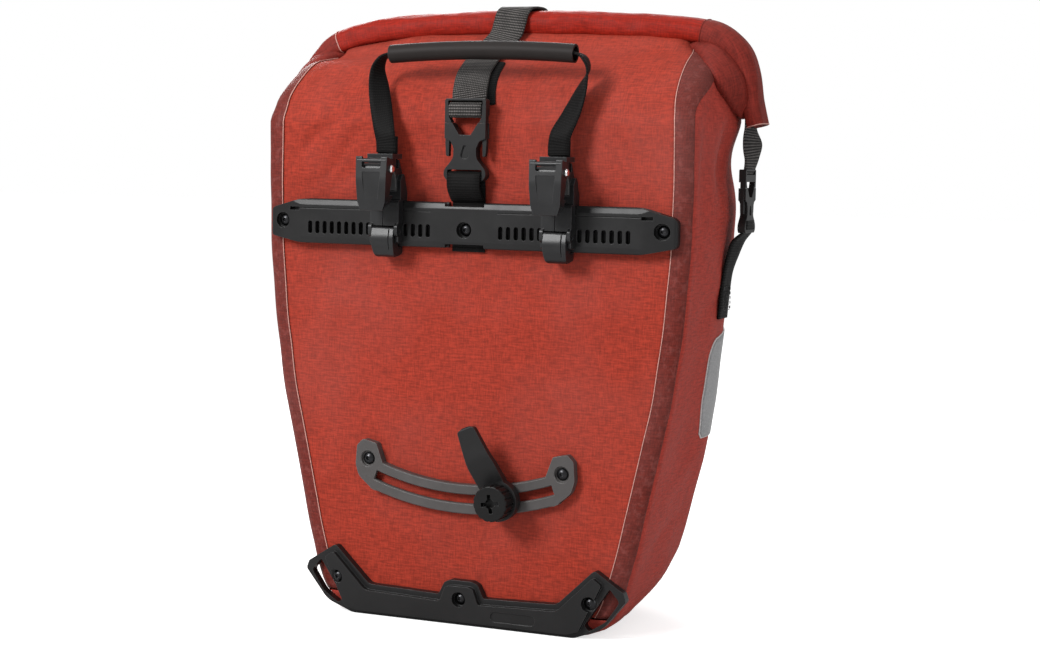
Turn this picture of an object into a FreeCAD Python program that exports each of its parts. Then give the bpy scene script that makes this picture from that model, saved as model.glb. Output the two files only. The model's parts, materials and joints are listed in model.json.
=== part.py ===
"""Roll-top pannier bag for a bicycle rack, in millimetres.

Row frame: +Z up with the floor at Z = 0, X across the bag, and the flat mounting face of the
bag in the plane Y = 0. The rack is on the -Y side and the bag's body on the +Y side.
"""
import FreeCAD
import Part
import math
import os

V = FreeCAD.Vector

# ---- driving dimensions ------------------------------------------------------------------
FABRIC = 1.6                 # wall of the coated fabric
SEAM_BAND = 13.0             # how far the gusset laps on to the mounting face
FRONT_SEAM_Y = 122.0         # plane of the seam between gusset and front panel
BASE_SEAM_Z = 12.0           # height of the seam round the base
FRONT_FULLNESS = 0.64        # how square the rounded front is: 0.55 is an ellipse
CORNER_R = 9.0               # vertical corners of the mounting face
SHOULDER_ROUNDING = 0.45     # growth of the corner radius per mm above the flat face

# height, half width, back edge, front edge, and the share of the depth where the side runs straight
SECTIONS = [
    (0, 90, 0, 118, 0.10), (5, 102, 0, 129, 0.10), (14, 110, 0, 138, 0.12), (30, 117, 0, 146, 0.50),
    (45, 121, 0, 151, 0.64), (60, 125, 0, 154, 0.64), (110, 136, 0, 163, 0.60), (160, 147, 0, 168, 0.52),
    (210, 154, 0, 170, 0.45), (260, 158, 0, 170, 0.48), (305, 159, 0, 166, 0.48), (345, 158.5, 0, 158, 0.45),
    (362, 158, 6, 150, 0.45), (376, 156, 18, 137, 0.45), (388, 152, 34, 119, 0.45), (397, 146, 49, 106, 0.45),
    (404, 132, 59, 97, 0.45),
]
FLAT_TOP_Z = 345.0           # the mounting face leans back above this
ROLL_Y = 78.0                # middle of the roll and of the hanging side straps
ROLL_TOP_Z = 426.0
ROLL_HEIGHT = 20.5
ROLL_DEPTH = 34.0
ROLL_HALF_SPAN = 172.0       # from the middle to the axis of each hanging end
ROLL_BEND_R = 45.0
ROLL_END_Z = 352.0

BOARD = 2.0                  # stiffener board behind the mounting face
BOARD_GAP = 0.1

RAIL_Z = 275.5
RAIL_HALF_LENGTH = 151.0
RAIL_HALF_HEIGHT = 15.5
RAIL_DEPTH = 10.0
RAIL_END_DEPTH = 7.0
RAIL_FLANGE = 3.0            # back flange, in front of which the hooks grip
RAIL_GROOVE = 3.6
RAIL_GROOVE_HALF = 12.0
RAIL_END_SCREW_X = 141.0
RAIL_END_SEAT = -4.0         # where the heads of the end and middle screws sit
RAIL_MID_SEAT = -5.5
VENT_FIRST_X = 27.0
VENT_PITCH = 5.7
VENTS_PER_SIDE = 17

HOOK_X = {"left": -57.0, "right": 70.0}
TUBE_Y = -22.0               # axis of the rack tube in the hooks
TUBE_Z = 305.0
TUBE_R = 6.1                 # insert bore for a 12 mm rack tube
CHANNEL_R = 7.4
LEVER_RELIEF_R = 6.6         # clears the rack tube where it passes the lever's cheeks
HOOK_ARCH_R = 10.6
HOOK_HALF_WIDTH = 8.0
LEVER_HALF_WIDTH = 12.0
LEVER_CHEEK = 1.9
PLATE_HALF_WIDTH = 9.6
HOOK_FACE = -RAIL_DEPTH - 0.4 # back and front of the hook's plate over the rail
HOOK_FRONT = -17.0
CLIP_SPACE = 8.6              # half width between the ears
PIVOT_Y = -30.0
PIVOT_Z = 313.0
PIN_R = 2.0
RUNNING = 0.05               # radial clearance of a running fit
CLIP_PIVOT_Y = -15.5
CLIP_PIVOT_Z = 270.0

ARC_CENTRE_Z = 289.0
ARC_SLOT_R = 201.0
ARC_DEPTH = 6.5
ARC_SLOT_HALF = 3.1
ARC_SLOT_ANGLE = 19.5
ARC_SCREW = (73.0, 110.5)
ANCHOR_ANGLE = 8.7           # where the anchor hook is clamped, from the middle of the arc
ANCHOR_LEAN = 23.0           # of its blade from upright

GUARD_SCREWS = [(-95.5, 25.0), (0.0, 18.5), (95.5, 25.0)]
ARC_SCREWS = [(-ARC_SCREW[0], ARC_SCREW[1]), ARC_SCREW]
RAIL_SCREWS = [(-RAIL_END_SCREW_X, RAIL_Z), (0.0, RAIL_Z - 3.0), (RAIL_END_SCREW_X, RAIL_Z)]
SCREW_R = 2.0
SCREW_HOLE_R = 2.2
SCREW_HEAD_R = 4.2
SCREW_HEAD_H = 2.4

WEBBING = 1.6                # thickness of all webbing
CENTRE_WEB = 25.0
SIDE_WEB = 19.5
SIDE_BUCKLE_SCALE = 0.78
BUCKLE_Y = -7.0              # middle plane of the centre buckle
BUCKLE_Z = 345.0             # where its two halves meet
SIDE_BUCKLE_Z = 304.0

GRIP_X = (-61.0, 75.0)
GRIP_Z = 391.5
GRIP_Y = 0.0
GRIP_R = 6.3
GRIP_BORE_R = 4.9
GRIP_RISE = 2.5              # how far the grip arches
HANDLE_WEB = 15.0
STRAP_FRONT_Y = -14.3        # middle of the handle's webbing where it meets the hooks
HOOK_TOP_Z = 323.2
STRAP_SPLIT_Z = 389.0        # the centre strap below this follows its buckle


# ---- small helpers -----------------------------------------------------------------------
def at_xz(u, v):
    return V(u, 0, v)


def at_yz(u, v):
    return V(0, u, v)


def at_xy(u, v):
    return V(u, v, 0)


def rounded_wire(points, place):
    """Closed wire through (u, v) corners; a corner given as (u, v, r) is rounded to radius r."""
    edges = []
    last = None
    first = None
    n = len(points)
    for i, corner in enumerate(points):
        here = V(corner[0], corner[1], 0)
        before = V(points[i - 1][0], points[i - 1][1], 0)
        after = V(points[(i + 1) % n][0], points[(i + 1) % n][1], 0)
        if len(corner) > 2:
            a = (before - here).normalize()
            b = (after - here).normalize()
            half = a.getAngle(b) / 2
            room = 0.49 * min(before.distanceToPoint(here), after.distanceToPoint(here))
            reach = min(corner[2] / math.tan(half), room)
            r = reach * math.tan(half)
            bisector = (a + b).normalize()
            start, end = here + a * reach, here + b * reach
            middle = here + bisector * (r / math.sin(half) - r)
        else:
            start = middle = end = here
        if last is not None and last.distanceToPoint(start) > 1e-6:
            edges.append(Part.LineSegment(place(last.x, last.y), place(start.x, start.y)).toShape())
        if len(corner) > 2:
            three = [place(p.x, p.y) for p in (start, middle, end)]
            edges.append(Part.Arc(*three).toShape())
        if first is None:
            first = start
        last = end
    if last.distanceToPoint(first) > 1e-6:
        edges.append(Part.LineSegment(place(last.x, last.y), place(first.x, first.y)).toShape())
    return Part.Wire(edges)


def prism(points, place, start, end):
    """Solid from an outline, extruded along the axis that the outline's plane leaves out."""
    axis = {at_xz: V(0, 1, 0), at_yz: V(1, 0, 0), at_xy: V(0, 0, 1)}[place]
    face = Part.Face(rounded_wire(points, place))
    face.translate(axis * start)
    return face.extrude(axis * (end - start))


def box(x, y, z):
    """Solid box from three (low, high) pairs."""
    return Part.makeBox(x[1] - x[0], y[1] - y[0], z[1] - z[0], V(x[0], y[0], z[0]))


def rod(r, length, start, axis):
    return Part.makeCylinder(r, length, start, axis)


def mirrored(points):
    """An outline's right half, given from bottom to top, followed by its mirror image."""
    return points + [(-p[0],) + tuple(p[1:]) for p in reversed(points)]


def fuse(shapes):
    joined = shapes[0].fuse(shapes[1:]) if len(shapes) > 1 else shapes[0]
    return joined.removeSplitter()


def export(name, shape):
    solids = shape.Solids
    good = all(s.isValid() and s.Volume > 0 for s in solids)
    print(f"{name:28s} solids {len(solids):2d}  volume {shape.Volume:10.1f}  {'ok' if good else 'BAD'}")
    out = solids[0] if len(solids) == 1 else Part.makeCompound(solids)
    out.exportStep(f"parts/{name}.step")


# ---- the fabric body ---------------------------------------------------------------------
def section_wire(z, w, back, front, share, inset):
    """One horizontal section: flat back, rounded corners, straight sides, full rounded front."""
    depth = front - back
    rounded = CORNER_R + SHOULDER_ROUNDING * max(0, z - FLAT_TOP_Z)
    r = min(rounded, 0.34 * depth, max(CORNER_R, share * depth - 1)) - inset
    side_y = back + share * depth
    w, back, front = w - inset, back + inset, front - inset
    k = r * (1 - math.sqrt(0.5))
    reach = side_y + FRONT_FULLNESS * (front - side_y)

    def half_front(s):
        poles = [V(s * w, side_y, z), V(s * w, reach, z), V(s * FRONT_FULLNESS * w, front, z), V(0, front, z)]
        curve = Part.BezierCurve()
        curve.setPoles(poles if s > 0 else poles[::-1])
        return curve.toShape()

    corners = {s: [V(s * (w - r), back, z), V(s * (w - k), back + k, z), V(s * w, back + r, z)]
               for s in (-1, 1)}
    right, left = corners[1], corners[-1]
    return Part.Wire([
        Part.LineSegment(left[0], right[0]).toShape(),
        Part.Arc(*right).toShape(),
        Part.LineSegment(right[2], V(w, side_y, z)).toShape(),
        half_front(1),
        half_front(-1),
        Part.LineSegment(V(-w, side_y, z), left[2]).toShape(),
        Part.Arc(left[2], left[1], left[0]).toShape(),
    ])


def body_solid(sections, inset, lift=0.0, drop=0.0):
    """Loft of the sections, inset all round; lift and drop move the bottom and top ends in."""
    rows = [list(s) for s in sections]
    rows[0][0] += lift
    rows[-1][0] -= drop
    return Part.makeLoft([section_wire(*row, inset) for row in rows], True, True)


def half_width_at(z):
    for low, high in zip(SECTIONS, SECTIONS[1:]):
        if low[0] <= z <= high[0]:
            share = (z - low[0]) / (high[0] - low[0])
            return low[1] + share * (high[1] - low[1])
    raise ValueError(z)


def panel_outline(edge, bottom, top):
    """Outline that keeps a constant distance from the sides of the mounting face."""
    rows = [s[0] for s in SECTIONS if bottom + 8 < s[0] < top]
    right = [(half_width_at(bottom + 8) - edge - 7, bottom, 9)]
    right += [(half_width_at(z) - edge, z) for z in rows]
    right.append((half_width_at(top) - edge, top))
    return mirrored(right)


def screw_holes():
    places = RAIL_SCREWS + ARC_SCREWS + GUARD_SCREWS
    return [rod(SCREW_HOLE_R, 14, V(x, -4, z), V(0, 1, 0)) for x, z in places]


def make_body():
    """The fabric shell, split at its seams into back, front and base panels and two gussets."""
    shell = body_solid(SECTIONS, 0).cut(body_solid(SECTIONS, FABRIC, lift=FABRIC, drop=FABRIC))
    top = SECTIONS[-1][0] + 1
    seam = half_width_at(FLAT_TOP_Z) - SEAM_BAND
    back_low = prism(panel_outline(SEAM_BAND, 14, FLAT_TOP_Z), at_xz, -1, FABRIC + 1)
    top_seam = SECTIONS[-1][1] - SEAM_BAND
    back_up = prism([(-seam, FLAT_TOP_Z - 3), (seam, FLAT_TOP_Z - 3), (top_seam, top), (-top_seam, top)],
                    at_xz, -1, ROLL_Y)
    front_low = box((-200, 200), (FRONT_SEAM_Y, 200), (-1, FLAT_TOP_Z + 1))
    low, high = seam - 15, top_seam - 15
    front_up = prism([(-low, FLAT_TOP_Z - 3), (low, FLAT_TOP_Z - 3), (high, top), (-high, top)],
                     at_xz, ROLL_Y, 200)
    back_zone = back_low.fuse(back_up)
    front_zone = front_low.fuse(front_up)
    export("back_panel", shell.common(back_zone).cut(screw_holes()))
    export("front_panel", shell.common(front_zone))
    gusset = shell.cut([back_zone, front_zone]).cut(screw_holes())
    base_zone = box((-200, 200), (-1, 200), (-1, BASE_SEAM_Z))
    export("base_panel", gusset.common(base_zone))
    sides = gusset.cut(base_zone)
    for side, s in (("left", -1), ("right", 1)):
        half = box((min(0, s * 200), max(0, s * 200)), (-1, 200), (-1, top))
        export(f"gusset_{side}", sides.common(half))


def make_board():
    start = FABRIC + BOARD_GAP
    plate = prism(panel_outline(SEAM_BAND + 3, 12, 335), at_xz, start, start + BOARD)
    export("stiffener_board", plate.cut(screw_holes()))


def roll_path(z_top, half_span, bend, end_z):
    """Up one hanging end, over the roll and down the other, in the plane Y = ROLL_Y."""
    k = bend * (1 - math.sqrt(0.5))
    crown = 1.0
    corner = half_span - bend
    top = z_top - crown

    def side(s):
        return [V(s * half_span, ROLL_Y, end_z), V(s * half_span, ROLL_Y, top - bend),
                V(s * (half_span - k), ROLL_Y, top - k), V(s * corner, ROLL_Y, top)]

    left, right = side(-1), side(1)
    return Part.Wire([
        Part.LineSegment(left[0], left[1]).toShape(),
        Part.Arc(left[1], left[2], left[3]).toShape(),
        Part.Arc(left[3], V(0, ROLL_Y, z_top), right[3]).toShape(),
        Part.Arc(right[3], right[2], right[1]).toShape(),
        Part.LineSegment(right[1], right[0]).toShape(),
    ])


def make_roll():
    """The rolled mouth as one padded oval, with the flat stiffener strip in its core."""
    path = roll_path(ROLL_TOP_Z - ROLL_HEIGHT / 2, ROLL_HALF_SPAN, ROLL_BEND_R, ROLL_END_Z)
    half, h = ROLL_DEPTH / 2, ROLL_HEIGHT / 2 - 0.01
    corners = [(-ROLL_HALF_SPAN - h, ROLL_Y - half, h - 1), (-ROLL_HALF_SPAN + h, ROLL_Y - half, h - 1),
               (-ROLL_HALF_SPAN + h, ROLL_Y + half, h - 1), (-ROLL_HALF_SPAN - h, ROLL_Y + half, h - 1)]
    section = rounded_wire(corners, at_xy)
    section.translate(V(0, 0, ROLL_END_Z))
    roll = path.makePipeShell([section], True, True)
    strip_x = ROLL_HALF_SPAN - ROLL_BEND_R - 4
    strip_z = ROLL_TOP_Z - ROLL_HEIGHT / 2 - 2.5
    strip = box((-strip_x, strip_x), (ROLL_Y - 8, ROLL_Y + 8), (strip_z, strip_z + 1.5))
    export("roll_closure", roll.cut(strip))
    export("roll_stiffener", strip)


def make_reflectors():
    """Retro-reflective patches that wrap the outer corners of the gusset."""
    film = body_solid(SECTIONS, -0.5).cut(body_solid(SECTIONS, -0.02))
    outline = [(56, 200, 3), (114, 206, 3), (119, 170, 20), (108, 134, 3), (52, 134, 3), (49, 168, 20)]
    for side, s in (("left", -1), ("right", 1)):
        cutter = prism(outline, at_yz, min(0, s * 200), max(0, s * 200))
        export(f"reflector_{side}", film.common(cutter))


# ---- mounting rail -----------------------------------------------------------------------
def make_rail():
    h, g = RAIL_HALF_HEIGHT, RAIL_GROOVE_HALF
    lip = RAIL_FLANGE + RAIL_GROOVE
    half = [(0, h), (-RAIL_FLANGE, h, 0.8), (-RAIL_FLANGE, g), (-lip, g), (-lip, h, 0.8),
            (-RAIL_DEPTH + 1.2, h, 1.5), (-RAIL_DEPTH, h - 4.2, 1.5)]
    section = half + [(p[0], -p[1]) + tuple(p[2:]) for p in reversed(half)]
    body = prism([(p[0], RAIL_Z + p[1]) + tuple(p[2:]) for p in section], at_yz,
                 -RAIL_HALF_LENGTH, RAIL_HALF_LENGTH)
    length = RAIL_HALF_LENGTH
    front_view = [(length, -h + 5, 4), (length - 25, -h, 30), (-length + 25, -h, 30), (-length, -h + 5, 4),
                  (-length, h - 7, 5), (-length + 25, h, 40), (length - 25, h, 40), (length, h - 7, 5)]
    front_view = [(p[0], RAIL_Z + p[1], p[2]) for p in front_view]
    top_view = [(length, 1), (length, -RAIL_END_DEPTH, 2.5), (length - 24, -RAIL_DEPTH, 60),
                (-length + 24, -RAIL_DEPTH, 60), (-length, -RAIL_END_DEPTH, 2.5), (-length, 1)]
    body = body.common(prism(front_view, at_xz, -RAIL_DEPTH - 1, 1))
    body = body.common(prism(top_view, at_xy, RAIL_Z - h - 1, RAIL_Z + h + 1))
    cuts = []
    for s in (-1, 1):
        for i in range(VENTS_PER_SIDE):
            x = s * (VENT_FIRST_X + VENT_PITCH * i)
            slot = [(x - 1.7, 266.8, 1.6), (x + 1.7, 266.8, 1.6),
                    (x + 1.7, 275.8, 1.6), (x - 1.7, 275.8, 1.6)]
            cuts.append(prism(slot, at_xz, -RAIL_DEPTH - 1, -RAIL_DEPTH + 5.0))
        cuts.append(box((s * 131 - 4, s * 131 + 4), (-20, -5), (282.8, 285.2)))
        cuts.append(rod(5.6, 20, V(s * RAIL_END_SCREW_X, RAIL_END_SEAT - 20, RAIL_Z), V(0, 1, 0)))
        cuts.append(box((s * 77 - 52, s * 77 + 52), (-20, -RAIL_DEPTH + 0.8), (284.2, 284.9)))
    cuts.append(rod(5.6, 20, V(0, RAIL_MID_SEAT - 20, RAIL_SCREWS[1][1]), V(0, 1, 0)))
    notch = CENTRE_WEB / 2 + 2
    cuts.append(box((-notch, notch), (-20, 1), (RAIL_Z + h - 2.7, 300)))
    cuts.append(box((-notch, notch), (-20, 1), (250, RAIL_Z - h + 2.7)))
    cuts.append(box((-notch, notch), (-3.2, 1), (250, 300)))
    cuts += [rod(SCREW_HOLE_R, 30, V(x, -20, z), V(0, 1, 0)) for x, z in RAIL_SCREWS]
    export("mounting_rail", body.cut(Part.makeCompound(cuts)))


# ---- screws ------------------------------------------------------------------------------
def button_screw(x, z, seat_y, end_y):
    """Button-head screw with a hex socket; its head sits on seat_y and it ends at end_y."""
    head = Part.makeCylinder(SCREW_HEAD_R, SCREW_HEAD_H, V(x, seat_y, z), V(0, -1, 0))
    ball_r = 5.6
    dome = Part.makeSphere(ball_r, V(x, seat_y - SCREW_HEAD_H + ball_r, z))
    socket_r = 1.6
    hexagon = [(x + socket_r * math.cos(a), z + socket_r * math.sin(a))
               for a in (math.pi / 3 * i for i in range(6))]
    socket = prism(hexagon, at_xz, seat_y - 5, seat_y - 0.8)
    shank = rod(SCREW_R, end_y - seat_y, V(x, seat_y, z), V(0, 1, 0))
    return head.common(dome).cut(socket).fuse(shank)


def flange_nut(x, z, start_y):
    """Round flange nut that clamps the stiffener board from inside."""
    flange = rod(7.0, 1.2, V(x, start_y, z), V(0, 1, 0))
    barrel = rod(3.6, 5.0, V(x, start_y, z), V(0, 1, 0))
    bore = rod(SCREW_R, 10, V(x, start_y - 1, z), V(0, 1, 0))
    return flange.fuse(barrel).cut(bore)


def make_screws():
    inner = FABRIC + BOARD_GAP + BOARD
    groups = [
        ("rail", [(x, z, RAIL_MID_SEAT if x == 0 else RAIL_END_SEAT) for x, z in RAIL_SCREWS]),
        ("arc_rail", [(x, z, -4.0) for x, z in ARC_SCREWS]),
        ("edge_guard", [(x, z, -6.0) for x, z in GUARD_SCREWS]),
    ]
    for name, screws in groups:
        shanks = [button_screw(x, z, y, inner + 4.6) for x, z, y in screws]
        export(f"{name}_screws", Part.makeCompound(shanks))
        export(f"{name}_nuts", Part.makeCompound([flange_nut(x, z, inner) for x, z, y in screws]))


# ---- rack hooks --------------------------------------------------------------------------
def hook_body(wide):
    """Saddle on the rail, arch over the tube, top plate, and ears that carry the clip's trunnions."""
    rail_top = RAIL_Z + RAIL_HALF_HEIGHT
    groove_back = -RAIL_FLANGE - 0.6
    groove_front = -RAIL_FLANGE - RAIL_GROOVE + 0.6
    y, z = TUBE_Y, TUBE_Z
    column = y + CHANNEL_R + 0.6
    saddle = prism([
        (HOOK_FACE, 262.5, 1), (HOOK_FRONT, 262.5, 1.5), (HOOK_FRONT, rail_top + 0.5, 2),
        (column, rail_top + 0.5),
        (column, z), (-9, z + 7, 4), (groove_back, rail_top + 6, 4),
        (groove_back, rail_top - 2.6, 0.5), (groove_front, rail_top - 2.6, 0.5),
        (groove_front, rail_top + 0.3), (HOOK_FACE, rail_top + 0.3),
    ], at_yz, -wide, wide)
    half = HOOK_HALF_WIDTH
    ring = rod(HOOK_ARCH_R, 2 * half, V(-half, y, z), V(1, 0, 0))
    boss = rod(3.9, 2 * half, V(-half, PIVOT_Y, PIVOT_Z), V(1, 0, 0))
    web = prism([(y, z + 5), (-6, z - 4), (-6, z + 6, 4), (-11, z + 15, 4), (-24, z + 15), (y - 6, z + 8)],
                at_yz, -half, half)
    plate_z = (z + 14.8, HOOK_TOP_Z)
    plate = box((-PLATE_HALF_WIDTH, PLATE_HALF_WIDTH), (-24, -9.5), plate_z)
    channel = rod(CHANNEL_R, 40, V(-20, y, z), V(1, 0, 0))
    mouth = box((-20, 20), (y - 40, y + CHANNEL_R), (z - 30, z))
    front_gap = box((-20, 20), (y - 40, y - 4), (z - 30, z - 1))
    arch = fuse([ring, boss, web]).cut([channel, mouth, front_gap])
    ear = [(HOOK_FACE, 276, 1), (HOOK_FRONT - 2, 276, 3), (HOOK_FRONT - 2.4, 267, 3.5), (HOOK_FACE, 265, 1)]
    ears = prism(ear, at_yz, -wide, -CLIP_SPACE).fuse(prism(ear, at_yz, CLIP_SPACE, wide))
    body = fuse([saddle, arch, plate, ears])
    slot_half = HANDLE_WEB / 2 + 0.5
    return body.cut([
        prism([(-6, 240), (-45, 240), (-45, 274.2), (-6, 274.2)], at_yz, -CLIP_SPACE, CLIP_SPACE),
        rod(1.5 + RUNNING, 40, V(-20, CLIP_PIVOT_Y, CLIP_PIVOT_Z), V(1, 0, 0)),
        rod(PIN_R, 40, V(-20, PIVOT_Y, PIVOT_Z), V(1, 0, 0)),
        box((-slot_half, slot_half), (STRAP_FRONT_Y - 1, STRAP_FRONT_Y + 3.4), (HOOK_TOP_Z - 9.8, z + 30)),
        box((-wide - 1, -wide + 1.0), (HOOK_FRONT - 1, HOOK_FRONT + 0.8), (270, rail_top - 3)),
        box((-1.2, -0.5), (HOOK_FRONT - 1, HOOK_FRONT + 0.8), (270, rail_top - 2)),
    ])


def hook_insert():
    """Reduces the hook's channel to the tube, and is open below."""
    half, y, z = HOOK_HALF_WIDTH, TUBE_Y, TUBE_Z
    outer = CHANNEL_R - 0.05
    ring = rod(outer, 2 * half, V(-half, y, z), V(1, 0, 0))
    below = box((-20, 20), (y - CHANNEL_R, y + CHANNEL_R), (z - 30, z + 0.2))
    leg = box((-half, half), (y + TUBE_R, y + outer), (z - 6.5, z + 0.2))
    return fuse([ring.cut(below), leg]).cut(rod(TUBE_R, 40, V(-20, y, z), V(1, 0, 0)))


def hook_lever():
    """Locking lever: shield, cheeks round the pin, and the jaw that closes under the tube."""
    w = LEVER_HALF_WIDTH
    back = PIVOT_Y - 4.2
    shield = prism([(back, 287.0, 1.5), (back, 320.5, 1), (back - 2.2, 322.0, 1.5), (back - 3.4, 305, 40),
                    (back - 2.0, 283.6, 2)], at_yz, -w, w)
    cheek = [(back - 1.6, 320.8, 2), (PIVOT_Y + 0.5, PIVOT_Z + 7.0, 3), (PIVOT_Y + 4.6, PIVOT_Z + 2, 4),
             (PIVOT_Y + 2.0, PIVOT_Z - 8, 8), (back + 2.4, 291, 4), (back - 1, 286, 2)]
    inner = w - LEVER_CHEEK
    cheeks = prism(cheek, at_yz, -w, -inner).fuse(prism(cheek, at_yz, inner, w))
    jaw = prism([(back - 0.6, 297, 2), (back - 0.6, 286.2, 2), (-25.5, 289.6, 5), (-19.5, 295.4, 1),
                 (-26, 294.9, 5), (back + 2.4, 297)], at_yz, -8.2, 8.2)
    pull_bar = rod(1.5, 2 * w - 2, V(-w + 1, back - 1.0, 318.6), V(1, 0, 0))
    window = prism([(-7.2, 313.6, 1.5), (7.2, 313.6, 1.5), (7.2, 330, 1), (-7.2, 330, 1)],
                   at_xz, -60, back + 0.5)
    front = prism(mirrored([(6.2, 280, 1), (8.0, 284.0, 2.5), (10.4, 291, 8), (11.2, 304, 40), (12.0, 330)]),
                  at_xz, -60, 0)
    panel = prism([(-4.6, 289, 2), (4.6, 289, 2), (7.0, 311.0, 1), (-7.0, 311.0, 1)], at_xz, -60, back - 2.55)
    relief = rod(LEVER_RELIEF_R, 40, V(-20, TUBE_Y, TUBE_Z), V(1, 0, 0))
    lever = fuse([shield, cheeks, jaw]).cut([window, panel, relief]).common(front).fuse(pull_bar)
    return lever.cut(rod(PIN_R + RUNNING, 40, V(-20, PIVOT_Y, PIVOT_Z), V(1, 0, 0)))


def lever_pin():
    """Pin with riveted ends."""
    end = LEVER_HALF_WIDTH + 0.3
    pin = rod(PIN_R, 2 * end, V(-end, PIVOT_Y, PIVOT_Z), V(1, 0, 0))
    for s in (-1, 1):
        pin = pin.fuse(Part.makeCone(2.8, 2.0, 1.0, V(s * end, PIVOT_Y, PIVOT_Z), V(s, 0, 0)))
    return pin


def lever_spring():
    """One and a half turns of wire beside the arch."""
    wire_r, coil_r, pitch, turns = 0.28, 2.9, 0.8, 1.5
    helix = Part.makeHelix(pitch, pitch * turns, coil_r)
    profile = Part.Wire(Part.makeCircle(wire_r, V(coil_r, 0, 0), V(0, 1, 0)))
    coil = Part.Wire(helix.Edges).makePipeShell([profile], True, True)
    coil.rotate(V(0, 0, 0), V(0, 1, 0), 90)
    coil.translate(V(HOOK_HALF_WIDTH + 0.35, PIVOT_Y, PIVOT_Z))
    return coil


def hook_clip(wide):
    """Thumb clip that locks the hook under the rail."""
    rail_bottom = RAIL_Z - RAIL_HALF_HEIGHT
    half = CLIP_SPACE - 0.3
    thumb = prism([
        (-12.4, 273.4, 1), (HOOK_FRONT - 1.6, 273.4, 2), (HOOK_FRONT - 4.2, 263.5, 14), (-15.5, 251.6, 6),
        (-3.7, 254.4, 2), (-3.7, rail_bottom + 0.8, 0.5), (-6.0, rail_bottom + 0.8, 0.5),
        (-6.0, rail_bottom - 0.5), (-11.0, rail_bottom - 0.5), (-11.0, 268.5, 1),
    ], at_yz, -half, half)
    front = prism(mirrored([(5.2, 250, 1), (7.6, 254.5, 3), (half, 262, 8), (half, 275)]), at_xz, -60, 0)
    groove = box((4.6, 5.3), (-60, HOOK_FRONT - 1.0), (250, 272))
    trunnions = rod(1.5, 2 * wide - 1, V(-wide + 0.5, CLIP_PIVOT_Y, CLIP_PIVOT_Z), V(1, 0, 0))
    return thumb.common(front).cut(groove).fuse(trunnions)


def make_hook(side, x):
    wide = LEVER_HALF_WIDTH - 1.0
    pieces = {"hook_body": hook_body(wide), "hook_insert": hook_insert(), "hook_lever": hook_lever(),
              "lever_pin": lever_pin(), "lever_spring": lever_spring(), "hook_clip": hook_clip(wide)}
    for name, shape in pieces.items():
        shape = shape.copy()
        shape.translate(V(x, 0, 0))
        export(f"{name}_{side}", shape)


# ---- lower arc rail and anchor hook ------------------------------------------------------
def sector(r_in, r_out, half_angle, y0, y1):
    """Part of a ring about the arc's centre, below it, between two radii."""
    def on(r, a):
        return V(r * math.sin(a), y0, ARC_CENTRE_Z - r * math.cos(a))
    a = math.radians(half_angle)
    outline = Part.Wire([
        Part.Arc(on(r_out, -a), on(r_out, 0), on(r_out, a)).toShape(),
        Part.LineSegment(on(r_out, a), on(r_in, a)).toShape(),
        Part.Arc(on(r_in, a), on(r_in, 0), on(r_in, -a)).toShape(),
        Part.LineSegment(on(r_in, -a), on(r_out, -a)).toShape(),
    ])
    return Part.Face(outline).extrude(V(0, y1 - y0, 0))


def make_arc_rail():
    bar = sector(ARC_SLOT_R - 10, ARC_SLOT_R + 10.4, 19.6, -ARC_DEPTH, 0)
    ear = [(61, 93, 3), (66.5, 86.8, 8), (80, 98, 10), (82.5, 106, 8), (81.5, 119.5, 2.5), (77, 124, 2),
           (66.5, 121.8, 2), (61.5, 108, 4)]
    ears = [prism([(s * p[0],) + p[1:] for p in ear], at_xz, -ARC_DEPTH, 0) for s in (-1, 1)]
    half = ARC_SLOT_HALF
    slot = sector(ARC_SLOT_R - half, ARC_SLOT_R + half, ARC_SLOT_ANGLE, -ARC_DEPTH - 1, 1)
    under = sector(ARC_SLOT_R - 5.4, ARC_SLOT_R + 5.4, ARC_SLOT_ANGLE + 0.4, -3.2, 1)
    recesses = [rod(5.2, 5, V(x, -9, z), V(0, 1, 0)) for x, z in ARC_SCREWS]
    holes = [rod(SCREW_HOLE_R, 12, V(x, -10, z), V(0, 1, 0)) for x, z in ARC_SCREWS]
    rail = fuse([bar] + ears).cut(Part.makeCompound([slot, under] + recesses + holes))
    front = [e for e in rail.Edges if e.BoundBox.YMax < -ARC_DEPTH + 0.01 and e.Length > 20]
    try:
        rail = rail.makeChamfer(0.7, front)
    except Part.OCCError:
        print("arc_rail: edges left sharp")
    export("arc_rail", rail)


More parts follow.
